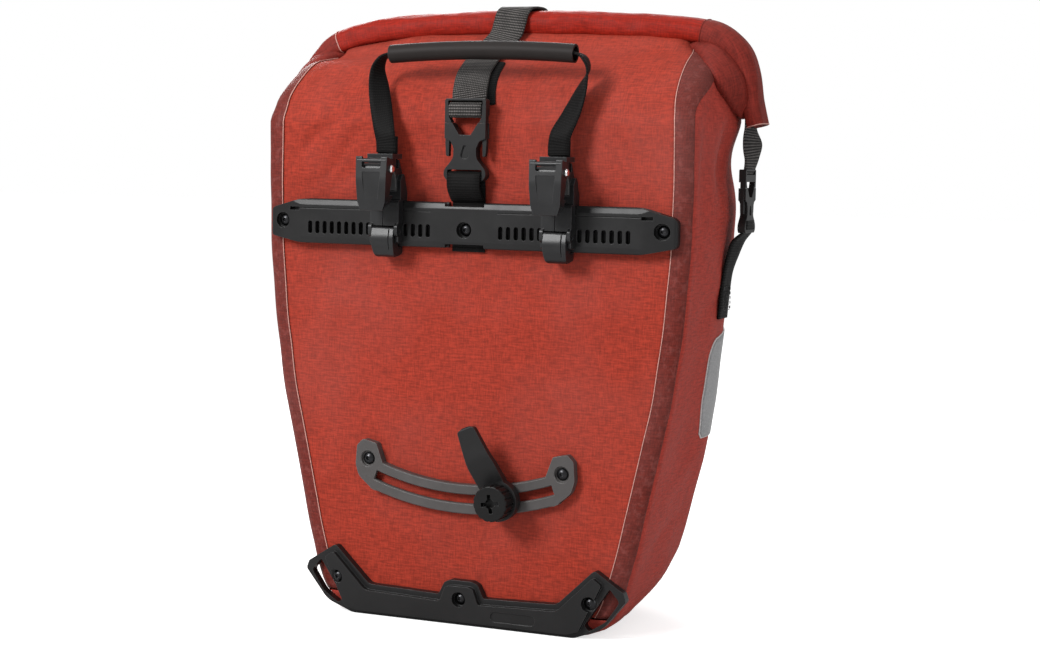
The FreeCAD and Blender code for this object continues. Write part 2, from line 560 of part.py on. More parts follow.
def make_anchor():
    """Slider, hook and clamping knob, made at the bottom of the arc and turned to their place."""
    axis_z = ARC_CENTRE_Z - ARC_SLOT_R
    axis = V(0, 1, 0)
    foot = sector(ARC_SLOT_R - 5, ARC_SLOT_R + 5, 2.6, -2.9, -0.3)
    shank = sector(ARC_SLOT_R - 2.9, ARC_SLOT_R + 2.9, 1.8, -8.8, -2.9)
    screw_hole = rod(2.5, 20, V(0, -15, axis_z), axis)
    slider = foot.fuse(shank).cut(screw_hole)
    hub = rod(14.0, 7.4, V(0, -16.4, axis_z), axis)
    blade_side = prism([(-9.2, axis_z, 1), (-9.2, axis_z + 12, 8), (-18.5, axis_z + 32, 20),
                        (-20.5, axis_z + 54, 2),
                        (-25.0, axis_z + 54.5, 2), (-23.5, axis_z + 32, 20),
                        (-16.4, axis_z + 12, 4), (-16.4, axis_z, 1)],
                       at_yz, -12, 12)
    blade_front = prism(mirrored([(9.0, axis_z), (9.6, axis_z + 26, 30), (6.5, axis_z + 52.5, 2.5),
                                  (2.0, axis_z + 54.2, 3)]), at_xz, -30, 0)
    hook = hub.fuse(blade_side.common(blade_front)).cut(rod(3.0 + RUNNING, 30, V(0, -28, axis_z), axis))
    knob_seat = rod(12.8, 14, V(0, -30.6, axis_z), axis)
    hook = hook.cut(knob_seat)
    head = rod(12.3, 12.0, V(0, -28.8, axis_z), axis)
    head = head.makeFillet(1.2, [e for e in head.Edges if e.BoundBox.YMax < -28.7])
    cross = [box((-1.4, 1.4), (-30, -24.5), (axis_z - 6.5, axis_z + 6.5)),
             box((-6.5, 6.5), (-30, -24.5), (axis_z - 1.4, axis_z + 1.4)),
             rod(3.4, 6, V(0, -30, axis_z), axis)]
    grips = [rod(1.1, 20, V(12.6 * math.cos(a), -35, axis_z + 12.6 * math.sin(a)), axis)
             for a in (math.pi / 8 * (i + 0.5) for i in range(16))]
    shaft = rod(3.0, 7.8, V(0, -16.9, axis_z), axis).fuse(rod(2.4, 6, V(0, -9.1, axis_z), axis))
    knob = head.cut(Part.makeCompound(cross + grips)).fuse(shaft)
    hook.rotate(V(0, 0, axis_z), axis, -ANCHOR_LEAN + ANCHOR_ANGLE)
    for name, shape in (("arc_slider", slider), ("anchor_hook", hook), ("anchor_knob", knob)):
        shape.rotate(V(0, 0, ARC_CENTRE_Z), axis, -ANCHOR_ANGLE)
        export(name, shape)


# ---- bottom edge guard -------------------------------------------------------------------
def make_edge_guard():
    outline = mirrored([
        (84, 0, 12), (104, 7.5, 18), (121, 28.5, 3), (119, 34, 2), (98, 47.5, 3),
        (71, 21.5, 8), (17, 20, 2), (12.5, 29, 3), (8, 30.8, 3),
    ])
    window = [(109.2, 36.2, 1), (116.6, 27.6, 3), (107, 13.5, 14), (95, 5.6, 2), (91.4, 9.4, 1.5)]
    raised = mirrored([
        (80, 3, 8), (88.5, 5.5, 3), (104.5, 38.5, 2), (98, 43, 2), (72.5, 17.8, 8), (14.5, 16, 2),
        (10.5, 26.4, 2.5), (7, 27.6, 2),
    ])
    plate = prism(outline, at_xz, -6.5, -0.05)
    rib = prism(raised, at_xz, -10.5, -6.5)
    body = fuse([plate, rib])
    cuts = [prism([(s * p[0],) + p[1:] for p in window], at_xz, -20, 1) for s in (-1, 1)]
    cuts += [rod(5.2, 14, V(x, -20, z), V(0, 1, 0)) for x, z in GUARD_SCREWS]
    cuts += [rod(SCREW_HOLE_R, 30, V(x, -20, z), V(0, 1, 0)) for x, z in GUARD_SCREWS]
    cuts.append(prism([(24, 5.6, 3.4), (57, 5.6, 3.4), (57, 12.8, 3.4), (24, 12.8, 3.4)], at_xz, -20, -9.6))
    export("edge_guard", body.cut(Part.makeCompound(cuts)))


# ---- buckles and webbing -----------------------------------------------------------------
def buckle_male():
    """Ladder-lock half with its two spring arms: width along X, its join with the female at Z = 0."""
    frame = prism([(-15.1, 0), (15.1, 0), (15.1, 16.2, 1.8), (-15.1, 16.2, 1.8)], at_xz, -3.2, 3.2)
    windows = [prism([(-12.8, 11.4, 0.8), (12.8, 11.4, 0.8), (12.8, 14.9, 0.8), (-12.8, 14.9, 0.8)],
                     at_xz, -5, 5),
               prism([(-9.8, -1), (9.8, -1), (12.8, 5.4, 1), (-12.8, 5.4, 1)], at_xz, -5, 5),
               box((-20, 20), (1.9, 5), (-1, 5.0))]
    arms = []
    for s in (-1, 1):
        outline = [(11.9, 1), (14.7, 1), (15.3, -14, 20), (14.6, -22.4, 2), (12.5, -23.0, 1), (12.4, -14, 20)]
        arms.append(prism([(s * p[0],) + p[1:] for p in outline], at_xz, -1.7, 1.7))
    return fuse([frame.cut(Part.makeCompound(windows))] + arms)


def buckle_female():
    """X-shaped half with the fixed webbing loop; the arms slide in slots that are open at its sides."""
    outline = mirrored([(13.2, -39.2, 3.5), (15.8, -35.5, 4), (14.9, -31.5, 3),
                        (8.6, -24, 6), (8.2, -17.5, 6),
                        (10.6, -12.4, 3), (15.1, -10.6, 1), (15.1, -0.15), (9.6, -0.15), (4.3, -8.2, 1.2)])
    body = prism(outline, at_xz, -3.4, 3.4)
    loop = prism([(-12.9, -36.4, 0.8), (12.9, -36.4, 0.8), (12.9, -31.6, 1.2), (-12.9, -31.6, 1.2)],
                 at_xz, -5, 5)
    emblem = prism([(-4.0, -24.2, 2.5), (4.0, -24.2, 2.5), (1.2, -15.2, 1.5), (-1.2, -15.2, 1.5)],
                   at_xz, -5, -2.2)
    slots = [box((min(s * 11.5, s * 20), max(s * 11.5, s * 20)), (-2.0, 2.0), (-14, 1)) for s in (-1, 1)]
    return body.cut([loop, emblem] + slots)


def make_buckles():
    for name, shape in (("buckle_male", buckle_male()), ("buckle_female", buckle_female())):
        centre = shape.copy()
        centre.translate(V(0, BUCKLE_Y, BUCKLE_Z))
        export(f"centre_{name}", centre)
        for side, s in (("left", -1), ("right", 1)):
            small = shape.copy()
            small.scale(SIDE_BUCKLE_SCALE)
            small.rotate(V(0, 0, 0), V(0, 0, 1), 90 * s)
            small.translate(V(s * ROLL_HALF_SPAN, ROLL_Y, SIDE_BUCKLE_Z))
            export(f"side_{name}_{side}", small)


def ribbon(path, place, start, end):
    """Webbing that follows a path in one plane: the path's line is its middle."""
    half = WEBBING / 2
    left, right = [], []
    for i, p in enumerate(path):
        a = path[max(i - 1, 0)]
        b = path[min(i + 1, len(path) - 1)]
        d1 = V(p[0] - a[0], p[1] - a[1], 0) if i else V(b[0] - p[0], b[1] - p[1], 0)
        d2 = V(b[0] - p[0], b[1] - p[1], 0) if i < len(path) - 1 else d1
        d1.normalize()
        d2.normalize()
        n = V(-(d1.y + d2.y), d1.x + d2.x, 0).normalize()
        reach = half / max(0.3, math.cos(d1.getAngle(d2) / 2))
        left.append((p[0] + n.x * reach, p[1] + n.y * reach))
        right.append((p[0] - n.x * reach, p[1] - n.y * reach))
    return prism(left + right[::-1], place, start, end)


def make_webbing():
    half = CENTRE_WEB / 2
    top = ROLL_TOP_Z + 1.3
    over_roll = [
        (172.0, 240), (172.2, 262), (171.4, 285), (168.2, 307), (164.5, 330), (160.5, 346), (153.4, 363),
        (140.0, 377), (123.0, 389), (109.0, 399), (100.5, 405.5), (97.2, 411), (96.4, 417), (95.0, 422.2),
        (91.2, 426.0), (85.9, top), (70.1, top), (64.8, 426.0), (61.0, 422.2), (59.6, 417), (57.6, 409),
        (48.2, 400.6), (32.4, STRAP_SPLIT_Z + 0.2),
    ]
    strap_end = [(32.4, STRAP_SPLIT_Z - 0.3), (16.5, 377.5), (4.5, 367.0), (-1.6, 359.5), (-1.6, 348.0)]
    export("centre_strap", ribbon(over_roll, at_yz, -half, half))
    export("centre_strap_end", ribbon(strap_end, at_yz, -half, half))
    patch = [(-19, 200, 6), (19, 200, 6), (19, 262, 6), (-19, 262, 6)]
    film = body_solid(SECTIONS, -0.9).cut(body_solid(SECTIONS, -0.02))
    export("centre_strap_patch", film.common(prism(patch, at_xz, 140, 200)))
    anchor = [(BUCKLE_Y + 4.6, 312.6), (BUCKLE_Y + 4.9, 304), (-1.6, 297), (-1.6, 257.5)]
    webbing = ribbon(anchor, at_yz, -half, half)
    export("buckle_anchor_webbing", webbing.cut(screw_holes()))
    y0, y1 = ROLL_Y - SIDE_WEB / 2, ROLL_Y + SIDE_WEB / 2
    out = ROLL_HALF_SPAN + 3.6
    for side, s in (("left", -1), ("right", 1)):
        upper = [(s * ROLL_HALF_SPAN, ROLL_END_Z - 0.2), (s * (ROLL_HALF_SPAN + 1.2), 336),
                 (s * out, 324), (s * out, 308)]
        lower = [(s * out, 283), (s * out, 271.5), (s * 164.8, 256), (s * 160.4, 246),
                 (s * 159.2, 232), (s * 157.4, 214)]
        export(f"side_strap_upper_{side}", ribbon(upper, at_xz, y0, y1))
        export(f"side_strap_lower_{side}", ribbon(lower, at_xz, y0, y1))


# ---- handle ------------------------------------------------------------------------------
def strap_rect(centre, width_dir, normal_dir, width):
    w = width_dir.normalize() * (width / 2)
    n = normal_dir.normalize() * (WEBBING / 2)
    corners = [centre + w + n, centre - w + n, centre - w - n, centre + w - n]
    return Part.makePolygon(corners + corners[:1])


def swept_strap(stations, start_dir):
    """Webbing through stations of (centre, width direction, width), twisting as it goes."""
    wires = []
    for i, (p, w, width) in enumerate(stations):
        before = stations[max(i - 1, 0)][0]
        after = stations[min(i + 1, len(stations) - 1)][0]
        along = (after - before).normalize() if i else start_dir
        across = (w - along * w.dot(along)).normalize()
        wires.append(strap_rect(p, across, along.cross(across), width))
    return fuse([Part.makeLoft(list(pair), True, True) for pair in zip(wires, wires[1:])])


def grip_bar(r):
    """Round bar that arches from one end of the grip to the other."""
    mid = sum(GRIP_X) / 2
    chord = (GRIP_X[1] - GRIP_X[0]) / 2
    radius = (chord * chord + GRIP_RISE * GRIP_RISE) / (2 * GRIP_RISE)
    turn = math.degrees(math.asin(chord / radius))
    start = V(GRIP_X[0], GRIP_Y, GRIP_Z)
    face = Part.Face(Part.Wire(Part.makeCircle(r, start, V(1, 0, 0))))
    face.rotate(start, V(0, 1, 0), -turn)
    return face.revolve(V(mid, GRIP_Y, GRIP_Z + GRIP_RISE - radius), V(0, 1, 0), 2 * turn)


def make_handle():
    core = grip_bar(GRIP_BORE_R - 0.1)
    export("handle_grip", grip_bar(GRIP_R).cut(grip_bar(GRIP_BORE_R)))
    flat = box((GRIP_X[0] - 5, GRIP_X[1] + 5), (GRIP_Y - 4.6, GRIP_Y + 4.6), (GRIP_Z - 3, GRIP_Z + 4))
    export("handle_core_webbing", core.common(flat))
    for side, s in (("left", -1), ("right", 1)):
        x_end = GRIP_X[0] if s < 0 else GRIP_X[1]
        x_hook = HOOK_X[side]
        y, z = GRIP_Y, GRIP_Z
        strap = swept_strap([
            (V(x_end + s * 0.6, y, z - 0.5), V(0, 1, 0), 9.0),
            (V(x_end + s * 6.5, y - 0.5, z - 3.0), V(0, 1, 0), 12.0),
            (V(x_end + s * 9, y - 1.5, z - 11), V(-s * 0.25, 1, 0), 14.0),
            (V(x_hook + s * 11, y - 4, z - 24), V(-s * 0.7, 0.7, 0), HANDLE_WEB),
            (V(x_hook + s * 6.5, y - 9, z - 40), V(-s * 1, 0.3, 0), HANDLE_WEB),
            (V(x_hook + s * 1.5, STRAP_FRONT_Y, z - 53), V(-s * 1, 0, 0), HANDLE_WEB),
            (V(x_hook, STRAP_FRONT_Y, HOOK_TOP_Z + 1.6), V(-s * 1, 0, 0), HANDLE_WEB),
        ], V(s, 0, 0))
        export(f"handle_strap_{side}", strap)
        half = HANDLE_WEB / 2
        back = STRAP_FRONT_Y + WEBBING / 2 + 0.4
        export(f"strap_end_{side}", box((x_hook - half, x_hook + half), (back, back + WEBBING),
                                        (HOOK_TOP_Z - 9, HOOK_TOP_Z + 12)))


def main():
    os.makedirs("parts", exist_ok=True)
    make_body()
    make_board()
    make_roll()
    make_reflectors()
    make_rail()
    make_screws()
    for side, x in HOOK_X.items():
        make_hook(side, x)
    make_arc_rail()
    make_anchor()
    make_edge_guard()
    make_buckles()
    make_webbing()
    make_handle()


main()
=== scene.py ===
"""Looks for the roll-top pannier: fabric, webbing, reflectors, materials, light and camera.

Everything is in metres in the CAD frame: +Z up, the mounting face in the plane Y = 0, the rack
on the -Y side and the bag's body on the +Y side. Lists of places are in millimetres.
"""
import functools
import json
import math

import bmesh
import bpy
import numpy as np
from mathutils import Matrix, Vector, noise
from mathutils.bvhtree import BVHTree


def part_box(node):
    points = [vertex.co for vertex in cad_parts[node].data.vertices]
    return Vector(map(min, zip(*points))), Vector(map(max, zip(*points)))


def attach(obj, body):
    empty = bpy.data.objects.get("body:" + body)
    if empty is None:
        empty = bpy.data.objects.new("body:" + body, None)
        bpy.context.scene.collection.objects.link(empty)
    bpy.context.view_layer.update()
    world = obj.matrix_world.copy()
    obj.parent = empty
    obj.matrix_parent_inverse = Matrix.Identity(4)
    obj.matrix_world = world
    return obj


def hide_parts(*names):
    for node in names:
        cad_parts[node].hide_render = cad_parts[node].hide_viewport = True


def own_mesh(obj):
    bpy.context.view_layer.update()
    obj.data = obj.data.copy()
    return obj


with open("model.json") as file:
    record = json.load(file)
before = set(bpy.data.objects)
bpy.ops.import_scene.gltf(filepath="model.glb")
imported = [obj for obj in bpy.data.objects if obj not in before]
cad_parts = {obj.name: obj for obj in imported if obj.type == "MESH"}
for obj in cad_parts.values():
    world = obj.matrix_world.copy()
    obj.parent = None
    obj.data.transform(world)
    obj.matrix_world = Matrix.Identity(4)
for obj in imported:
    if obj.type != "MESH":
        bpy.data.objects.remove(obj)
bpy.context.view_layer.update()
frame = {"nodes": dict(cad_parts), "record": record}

MM = 0.001
NODES = frame["nodes"]


# ---- places read from the CAD frame --------------------------------------------------------
def tree(*names):
    """One ray-casting tree over several CAD nodes."""
    verts, polys = [], []
    for name in names:
        mesh = NODES[name].data
        start = len(verts)
        verts += [v.co.copy() for v in mesh.vertices]
        polys += [[start + i for i in p.vertices] for p in mesh.polygons]
    return BVHTree.FromPolygons(verts, polys)


def node_mid(name):
    low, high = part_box(name)
    return (low + high) / 2


BODY_TREE = tree("back_panel", "front_panel", "base_panel", "gusset_left", "gusset_right")
BODY_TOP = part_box("gusset_left")[1].z
BASE_SEAM_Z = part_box("base_panel")[1].z
FRONT_SEAM_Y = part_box("base_panel")[1].y
FLAT_TOP_Z = 345 * MM         # the shoulders round off above this height
ROLL_Y = node_mid("roll_closure").y
SEAM_BAND = 13 * MM           # from the side of the bag in to the gusset's seam on the mounting face
CORNER_R = 9 * MM
SHOULDER_ROUNDING = 0.45      # growth of the corner's radius with height above FLAT_TOP_Z
FULLNESS = 0.64               # how square the curve from the side to the front is, from 0 to 1
PROBE_X = 0.021               # the body's front and back are measured here, a little off its middle
FAR = 0.5                     # rays start this far out, clear of the object
EDGE_GAP = 0.0008             # the first and last samples stay this far inside the body's ends
CORE = (0, 0.075, 0.2)        # a point inside the bag; outwards is away from it
SHARE_Z = [z * MM for z in (0, 14, 30, 45, 60, 110, 160, 210, 260, 305, 345)]
SHARES = [0.10, 0.12, 0.50, 0.64, 0.64, 0.60, 0.52, 0.45, 0.48, 0.48, 0.45]


def side_share(z):
    """Share of the body's depth over which its side runs straight."""
    return float(np.interp(z, SHARE_Z, SHARES))


def measure(z):
    """Half width, back and front of the CAD body at a height."""
    def hit(origin, direction):
        return BODY_TREE.ray_cast(Vector(origin), Vector(direction))[0]

    front = hit((PROBE_X, FAR, z), (0, -1, 0)).y
    back = hit((PROBE_X, -FAR, z), (0, 1, 0)).y
    side_y = back + side_share(z) * (front - back) - 0.5 * MM
    return hit((FAR, side_y, z), (-1, 0, 0)).x, back, front


SAMPLE_Z = [EDGE_GAP, 0.005, 0.014, 0.030, 0.045, 0.060, 0.085, 0.110, 0.135, 0.160, 0.185, 0.210, 0.235,
            0.260, 0.283, 0.305, 0.325, 0.345, 0.354, 0.362, 0.376, 0.388, 0.397, BODY_TOP - EDGE_GAP]
SAMPLES = np.array([measure(z) for z in SAMPLE_Z])


def hermite(x, xs, ys):
    """Smooth interpolation through samples, level where they turn back."""
    xs, ys = np.asarray(xs), np.asarray(ys)
    secant = np.diff(ys) / np.diff(xs)
    slope = np.concatenate([[secant[0]], (secant[:-1] + secant[1:]) / 2, [secant[-1]]])
    for i in range(1, len(slope) - 1):
        if secant[i - 1] * secant[i] <= 0:
            slope[i] = 0
    i = int(np.clip(np.searchsorted(xs, x) - 1, 0, len(xs) - 2))
    h = xs[i + 1] - xs[i]
    t = (x - xs[i]) / h
    return ((1 + 2 * t) * (1 - t) ** 2 * ys[i] + t * (1 - t) ** 2 * h * slope[i]
            + t * t * (3 - 2 * t) * ys[i + 1] + t * t * (t - 1) * h * slope[i + 1])


def body_size(z):
    """Half width, back and front of the body at a height, between the samples."""
    return [hermite(z, SAMPLE_Z, SAMPLES[:, i]) for i in range(3)]


def smooth(low, high, x):
    """Eases from 0 at low to 1 at high; low may be the larger."""
    t = min(max((x - low) / (high - low), 0.0), 1.0)
    return t * t * (3 - 2 * t)


def bump(x, centre, width):
    """A bell curve of height 1."""
    return math.exp(-((x - centre) / width) ** 2)


# ---- materials -----------------------------------------------------------------------------
MATERIALS = {}


class Shader:
    """Wires shader nodes: an input is given by its name, or as _ and its number."""

    def __init__(self, name):
        self.material = MATERIALS[name] = bpy.data.materials.new(name)
        self.material.use_nodes = True
        self.tree = self.material.node_tree
        self.tree.nodes.clear()
        self.out = self.add("ShaderNodeOutputMaterial")
        self.main = self.add("ShaderNodeBsdfPrincipled")
        self.link(self.main.outputs[0], self.out.inputs["Surface"])

    def add(self, kind, settings=None, **inputs):
        node = self.tree.nodes.new(kind)
        for key, value in (settings or {}).items():
            setattr(node, key, value)
        for key, value in inputs.items():
            self.set(node, key, value)
        return node

    def set(self, node, key, value):
        socket = node.inputs[int(key[1:]) if key[0] == "_" else key.replace("_", " ")]
        if isinstance(value, bpy.types.NodeSocket):
            self.link(value, socket)
        elif isinstance(value, bpy.types.Node):
            self.link(value.outputs[0], socket)
        elif socket.type == "RGBA":
            socket.default_value = (*value, 1)
        else:
            socket.default_value = value

    def link(self, a, b):
        self.tree.links.new(a, b)

    def math(self, operation, a, b=0.0, clamp=False):
        return self.add("ShaderNodeMath", {"operation": operation, "use_clamp": clamp}, _0=a, _1=b)

    def line(self, value, slope, offset):
        """value * slope + offset"""
        return self.math("ADD", self.math("MULTIPLY", value, slope), offset)

    def mix(self, factor, a, b):
        return self.add("ShaderNodeMix", {"data_type": "RGBA"}, _0=factor, _6=a, _7=b).outputs[2]

    def noise(self, vector, scale, detail=2.0, roughness=0.5, stretch=(1, 1, 1)):
        mapped = self.add("ShaderNodeMapping", Vector=vector, Scale=stretch)
        node = self.add("ShaderNodeTexNoise", Vector=mapped, Scale=scale, Detail=detail, Roughness=roughness)
        return node.outputs[0]

    def ramp(self, value, stops):
        """Grey levels at stops of (place, level)."""
        node = self.add("ShaderNodeValToRGB", Fac=value)
        elements = node.color_ramp.elements
        while len(elements) < len(stops):
            elements.new(0.5)
        for element, (place, level) in zip(elements, stops):
            element.position = place
            element.color = (level, level, level, 1)
        return node.outputs[0]

    def finish(self, **values):
        for key, value in values.items():
            self.set(self.main, key, value)


def scaled(colour, k):
    return tuple(min(1.0, c * k) for c in colour)


def cloth_uv(s):
    return s.add("ShaderNodeUVMap", {"uv_map": "cloth"}).outputs[0]


def object_place(s):
    return s.add("ShaderNodeTexCoord").outputs["Object"]


def fabric(name, colour, blotch=0.0, rough=0.66, faded=0.3, shine=0.12):
    """Coated woven fabric: slubby threads in both directions, laid out by UV in metres."""
    s = Shader(name)
    uv = cloth_uv(s)
    place = object_place(s)
    weft = s.noise(uv, 1.0, 3.0, 0.65, (120, 760, 1))
    warp = s.noise(uv, 1.0, 3.0, 0.65, (1000, 130, 1))
    slub = s.line(weft, 0.56, s.math("MULTIPLY", warp, 0.44))
    cloud = s.noise(place, 8.0, 3.0, 0.55)
    fade = s.noise(place, 34.0, 4.0, 0.65)
    tone = s.ramp(slub, [(0.40, 0.0), (0.60, 1.0)])
    base = s.mix(tone, scaled(colour, 0.74), scaled(colour, 1.35))
    pale = tuple(0.86 * c + 0.045 for c in colour)
    base = s.mix(s.ramp(cloud, [(0.42, 0.0), (0.72, faded)]), base, pale)
    base = s.mix(s.ramp(fade, [(0.48, 0.0), (0.75, 0.28)]), base, scaled(colour, 0.66))
    if blotch:
        stain = s.noise(place, 210.0, 3.0, 0.7)
        worn = tuple(1.7 * c + 0.035 for c in colour)
        base = s.mix(s.ramp(stain, [(0.50, 0.0), (0.64, blotch)]), base, worn)
    fine = s.noise(uv, 1.0, 2.0, 0.5, (2100, 2100, 1))
    height = s.line(fine, 0.35, s.math("MULTIPLY", slub, 1.7))
    relief = s.add("ShaderNodeBump", Strength=0.6, Distance=0.32 * MM, Height=height)
    rougher = s.line(slub, 0.25, rough - 0.12)
    s.finish(Base_Color=base, Roughness=rougher, Normal=relief, Specular_IOR_Level=shine,
             Sheen_Weight=0.2 * shine, Sheen_Roughness=0.5, Sheen_Tint=(1.0, 0.62, 0.55))


RIB, PICK = 1.9 * MM, 1.25 * MM      # repeats of the webbing's weave, along and across


def webbing(name, colour, stripe):
    """Ribbed woven tape: rows of light picks run across it between dark ribs."""
    s = Shader(name)
    uv = cloth_uv(s)
    split = s.add("ShaderNodeSeparateXYZ", Vector=uv)
    across, along = (s.line(s.math("SINE", s.math("MULTIPLY", run, 2 * math.pi / repeat)), 0.5, 0.5)
                     for run, repeat in zip(split.outputs, (PICK, RIB)))
    cells = s.math("MULTIPLY", s.ramp(across, [(0.25, 0.25), (0.7, 1.0)]),
                   s.ramp(along, [(0.3, 0.0), (0.75, 1.0)]))
    fuzz = s.noise(uv, 1.0, 3.0, 0.6, (900, 420, 1))
    patchy = s.noise(uv, 1.0, 2.0, 0.5, (130, 70, 1))
    tone = s.math("MULTIPLY", cells, s.line(patchy, 0.8, 0.35))
    tone = s.math("ADD", tone, s.math("MULTIPLY", s.math("SUBTRACT", fuzz, 0.5), 0.5), True)
    base = s.mix(tone, colour, stripe)
    height = s.math("ADD", cells, s.math("MULTIPLY", fuzz, 0.5))
    relief = s.add("ShaderNodeBump", Strength=0.75, Distance=0.3 * MM, Height=height)
    s.finish(Base_Color=base, Roughness=0.62, Normal=relief, Specular_IOR_Level=0.09,
             Sheen_Weight=0.015, Sheen_Roughness=0.4)


def plastic(name, colour, rough, edge=0.5 * MM, gloss=0.22):
    """Moulded nylon: fine spark-eroded grain, faint cloudy wear, and a painted highlight that lightens its
    rounded edges.
    """
    s = Shader(name)
    place = object_place(s)
    fine = s.noise(place, 2600.0, 2.0, 0.5)
    coarse = s.noise(place, 45.0, 4.0, 0.6)
    rounded = s.add("ShaderNodeBevel", {"samples": 6}, Radius=edge)
    relief = s.add("ShaderNodeBump", Strength=0.25, Distance=0.05 * MM, Height=fine, Normal=rounded)
    wear = s.ramp(coarse, [(0.45, 0.0), (0.75, 0.3)])
    base = s.mix(wear, colour, scaled(colour, 1.9))
    # the rounded normal turns away from the real one only near an edge, and there the base colour is painted
    # lighter as a highlight
    flat = s.add("ShaderNodeNewGeometry").outputs["Normal"]
    turned = s.add("ShaderNodeVectorMath", {"operation": "DOT_PRODUCT"}, _0=rounded, _1=flat)
    edge_highlight = s.ramp(turned.outputs["Value"], [(0.80, 0.8), (0.995, 0.0)])
    base = s.mix(edge_highlight, base, tuple(3.0 * c + 0.03 for c in colour))
    rougher = s.line(coarse, 0.18, rough - 0.09)
    s.finish(Base_Color=base, Roughness=rougher, Normal=relief, Specular_IOR_Level=gloss)


def metal(name, colour, rough):
    """Metal with fine streaks and a few duller spots."""
    s = Shader(name)
    place = object_place(s)
    streak = s.noise(place, 3.0, 3.0, 0.6, (30, 900, 30))
    spots = s.noise(place, 300.0, 3.0, 0.6)
    rounded = s.add("ShaderNodeBevel", {"samples": 6}, Radius=0.25 * MM)
    relief = s.add("ShaderNodeBump", Strength=0.15, Distance=0.04 * MM, Height=streak, Normal=rounded)
    base = s.mix(s.ramp(spots, [(0.4, 0.0), (0.7, 0.5)]), colour, scaled(colour, 0.72))
    rougher = s.line(streak, 0.2, rough - 0.1)
    s.finish(Base_Color=base, Metallic=1.0, Roughness=rougher, Normal=relief)


def reflective(name):
    """Silver retro-reflective film with its fine honeycomb of glass beads."""
    s = Shader(name)
    cells = s.add("ShaderNodeTexVoronoi", {"feature": "DISTANCE_TO_EDGE"}, Vector=cloth_uv(s), Scale=420.0)
    cloud = s.noise(object_place(s), 30.0, 3.0, 0.6)
    inside = s.ramp(cells.outputs[0], [(0.03, 0.0), (0.12, 1.0)])
    base = s.mix(inside, (0.25, 0.25, 0.255), (0.165, 0.166, 0.17))
    base = s.mix(s.ramp(cloud, [(0.4, 0.0), (0.7, 0.5)]), base, (0.24, 0.241, 0.245))
    relief = s.add("ShaderNodeBump", Strength=0.3, Distance=0.1 * MM, Height=inside)
    s.finish(Base_Color=base, Metallic=0.35, Roughness=0.42, Normal=relief)


def trim(name, colour, rough=0.6):
    """Cut edge of coated fabric or film, or sewing thread."""
    s = Shader(name)
    frayed = s.noise(object_place(s), 700.0, 3.0, 0.7)
    base = s.mix(s.ramp(frayed, [(0.35, 0.0), (0.65, 1.0)]), scaled(colour, 0.6), colour)
    relief = s.add("ShaderNodeBump", Strength=0.4, Distance=0.1 * MM, Height=frayed)
    s.finish(Base_Color=base, Roughness=rough, Normal=relief)


RED = (0.226, 0.0225, 0.0112)
ROLL_RED = (0.200, 0.0085, 0.0030)
DEEP_RED = (0.265, 0.0275, 0.0180)
CUFF_RED = (0.138, 0.0140, 0.0092)
CHILI = (0.100, 0.0135, 0.0095)
fabric("panel_fabric", RED)
fabric("roll_fabric", ROLL_RED, rough=0.5, faded=0.16, shine=0.07)
fabric("gusset_fabric", DEEP_RED, faded=0.25)
fabric("band_fabric", CHILI, blotch=0.32, rough=0.55)
fabric("cuff_fabric", CUFF_RED, rough=0.6, faded=0.15, shine=0.09)
fabric("patch_fabric", CHILI, rough=0.6)
trim("seam_edge", (0.52, 0.25, 0.21))
webbing("grey_webbing", (0.012, 0.0115, 0.011), (0.150, 0.138, 0.132))
webbing("black_webbing", (0.0022, 0.0020, 0.0020), (0.0095, 0.0088, 0.0086))
trim("black_thread", (0.012, 0.012, 0.013))
plastic("black_plastic", (0.0080, 0.0078, 0.0080), rough=0.38)
plastic("arc_plastic", (0.050, 0.046, 0.045), rough=0.36, gloss=0.3)
plastic("hook_plastic", (0.0090, 0.0090, 0.0095), rough=0.34, gloss=0.27)
plastic("insert_plastic", (0.04, 0.04, 0.04), rough=0.5)
plastic("knob_plastic", (0.0045, 0.0043, 0.0043), rough=0.4, gloss=0.17)
plastic("grip_rubber", (0.0120, 0.0095, 0.0088), rough=0.55, edge=0.8 * MM, gloss=0.13)
plastic("board", (0.02, 0.02, 0.02), rough=0.6)
metal("screw_steel", (0.035, 0.035, 0.037), rough=0.33)
metal("pin_aluminium", (0.85, 0.85, 0.86), rough=0.2)
metal("spring_steel", (0.5, 0.5, 0.5), rough=0.25)
reflective("reflective_film")
trim("reflector_edge", (0.62, 0.60, 0.59), rough=0.45)


# ---- mesh helpers --------------------------------------------------------------------------
def new_object(name, data):
    obj = bpy.data.objects.new(name, data)
    bpy.context.scene.collection.objects.link(obj)
    return obj


def add_object(name, mesh, material, body, replaces=()):
    """A smooth-shaded piece on one of the bodies, which may replace CAD nodes."""
    obj = new_object(name, mesh)
    mesh.materials.append(MATERIALS[material])
    for polygon in mesh.polygons:
        polygon.use_smooth = True
    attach(obj, body)
    if replaces:
        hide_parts(*replaces)
    return obj


def grid_mesh(name, points, uvs, closed=False):
    """Mesh from a (rows, columns, 3) array; closed joins the last column to the first."""
    rows, cols = points.shape[:2]
    mesh = bpy.data.meshes.new(name)
    last = cols if closed else cols - 1
    faces = []
    corner_uvs = []
    for r in range(rows - 1):
        for c in range(last):
            d = (c + 1) % cols
            faces.append((r * cols + c, r * cols + d, (r + 1) * cols + d, (r + 1) * cols + c))
            corner_uvs += [uvs[r, c], uvs[r, c + 1], uvs[r + 1, c + 1], uvs[r + 1, c]]
    mesh.from_pydata(points.reshape(-1, 3).tolist(), [], faces)
    layer = mesh.uv_layers.new(name="cloth")
    layer.data.foreach_set("uv", np.array(corner_uvs, np.float32).ravel())
    return mesh


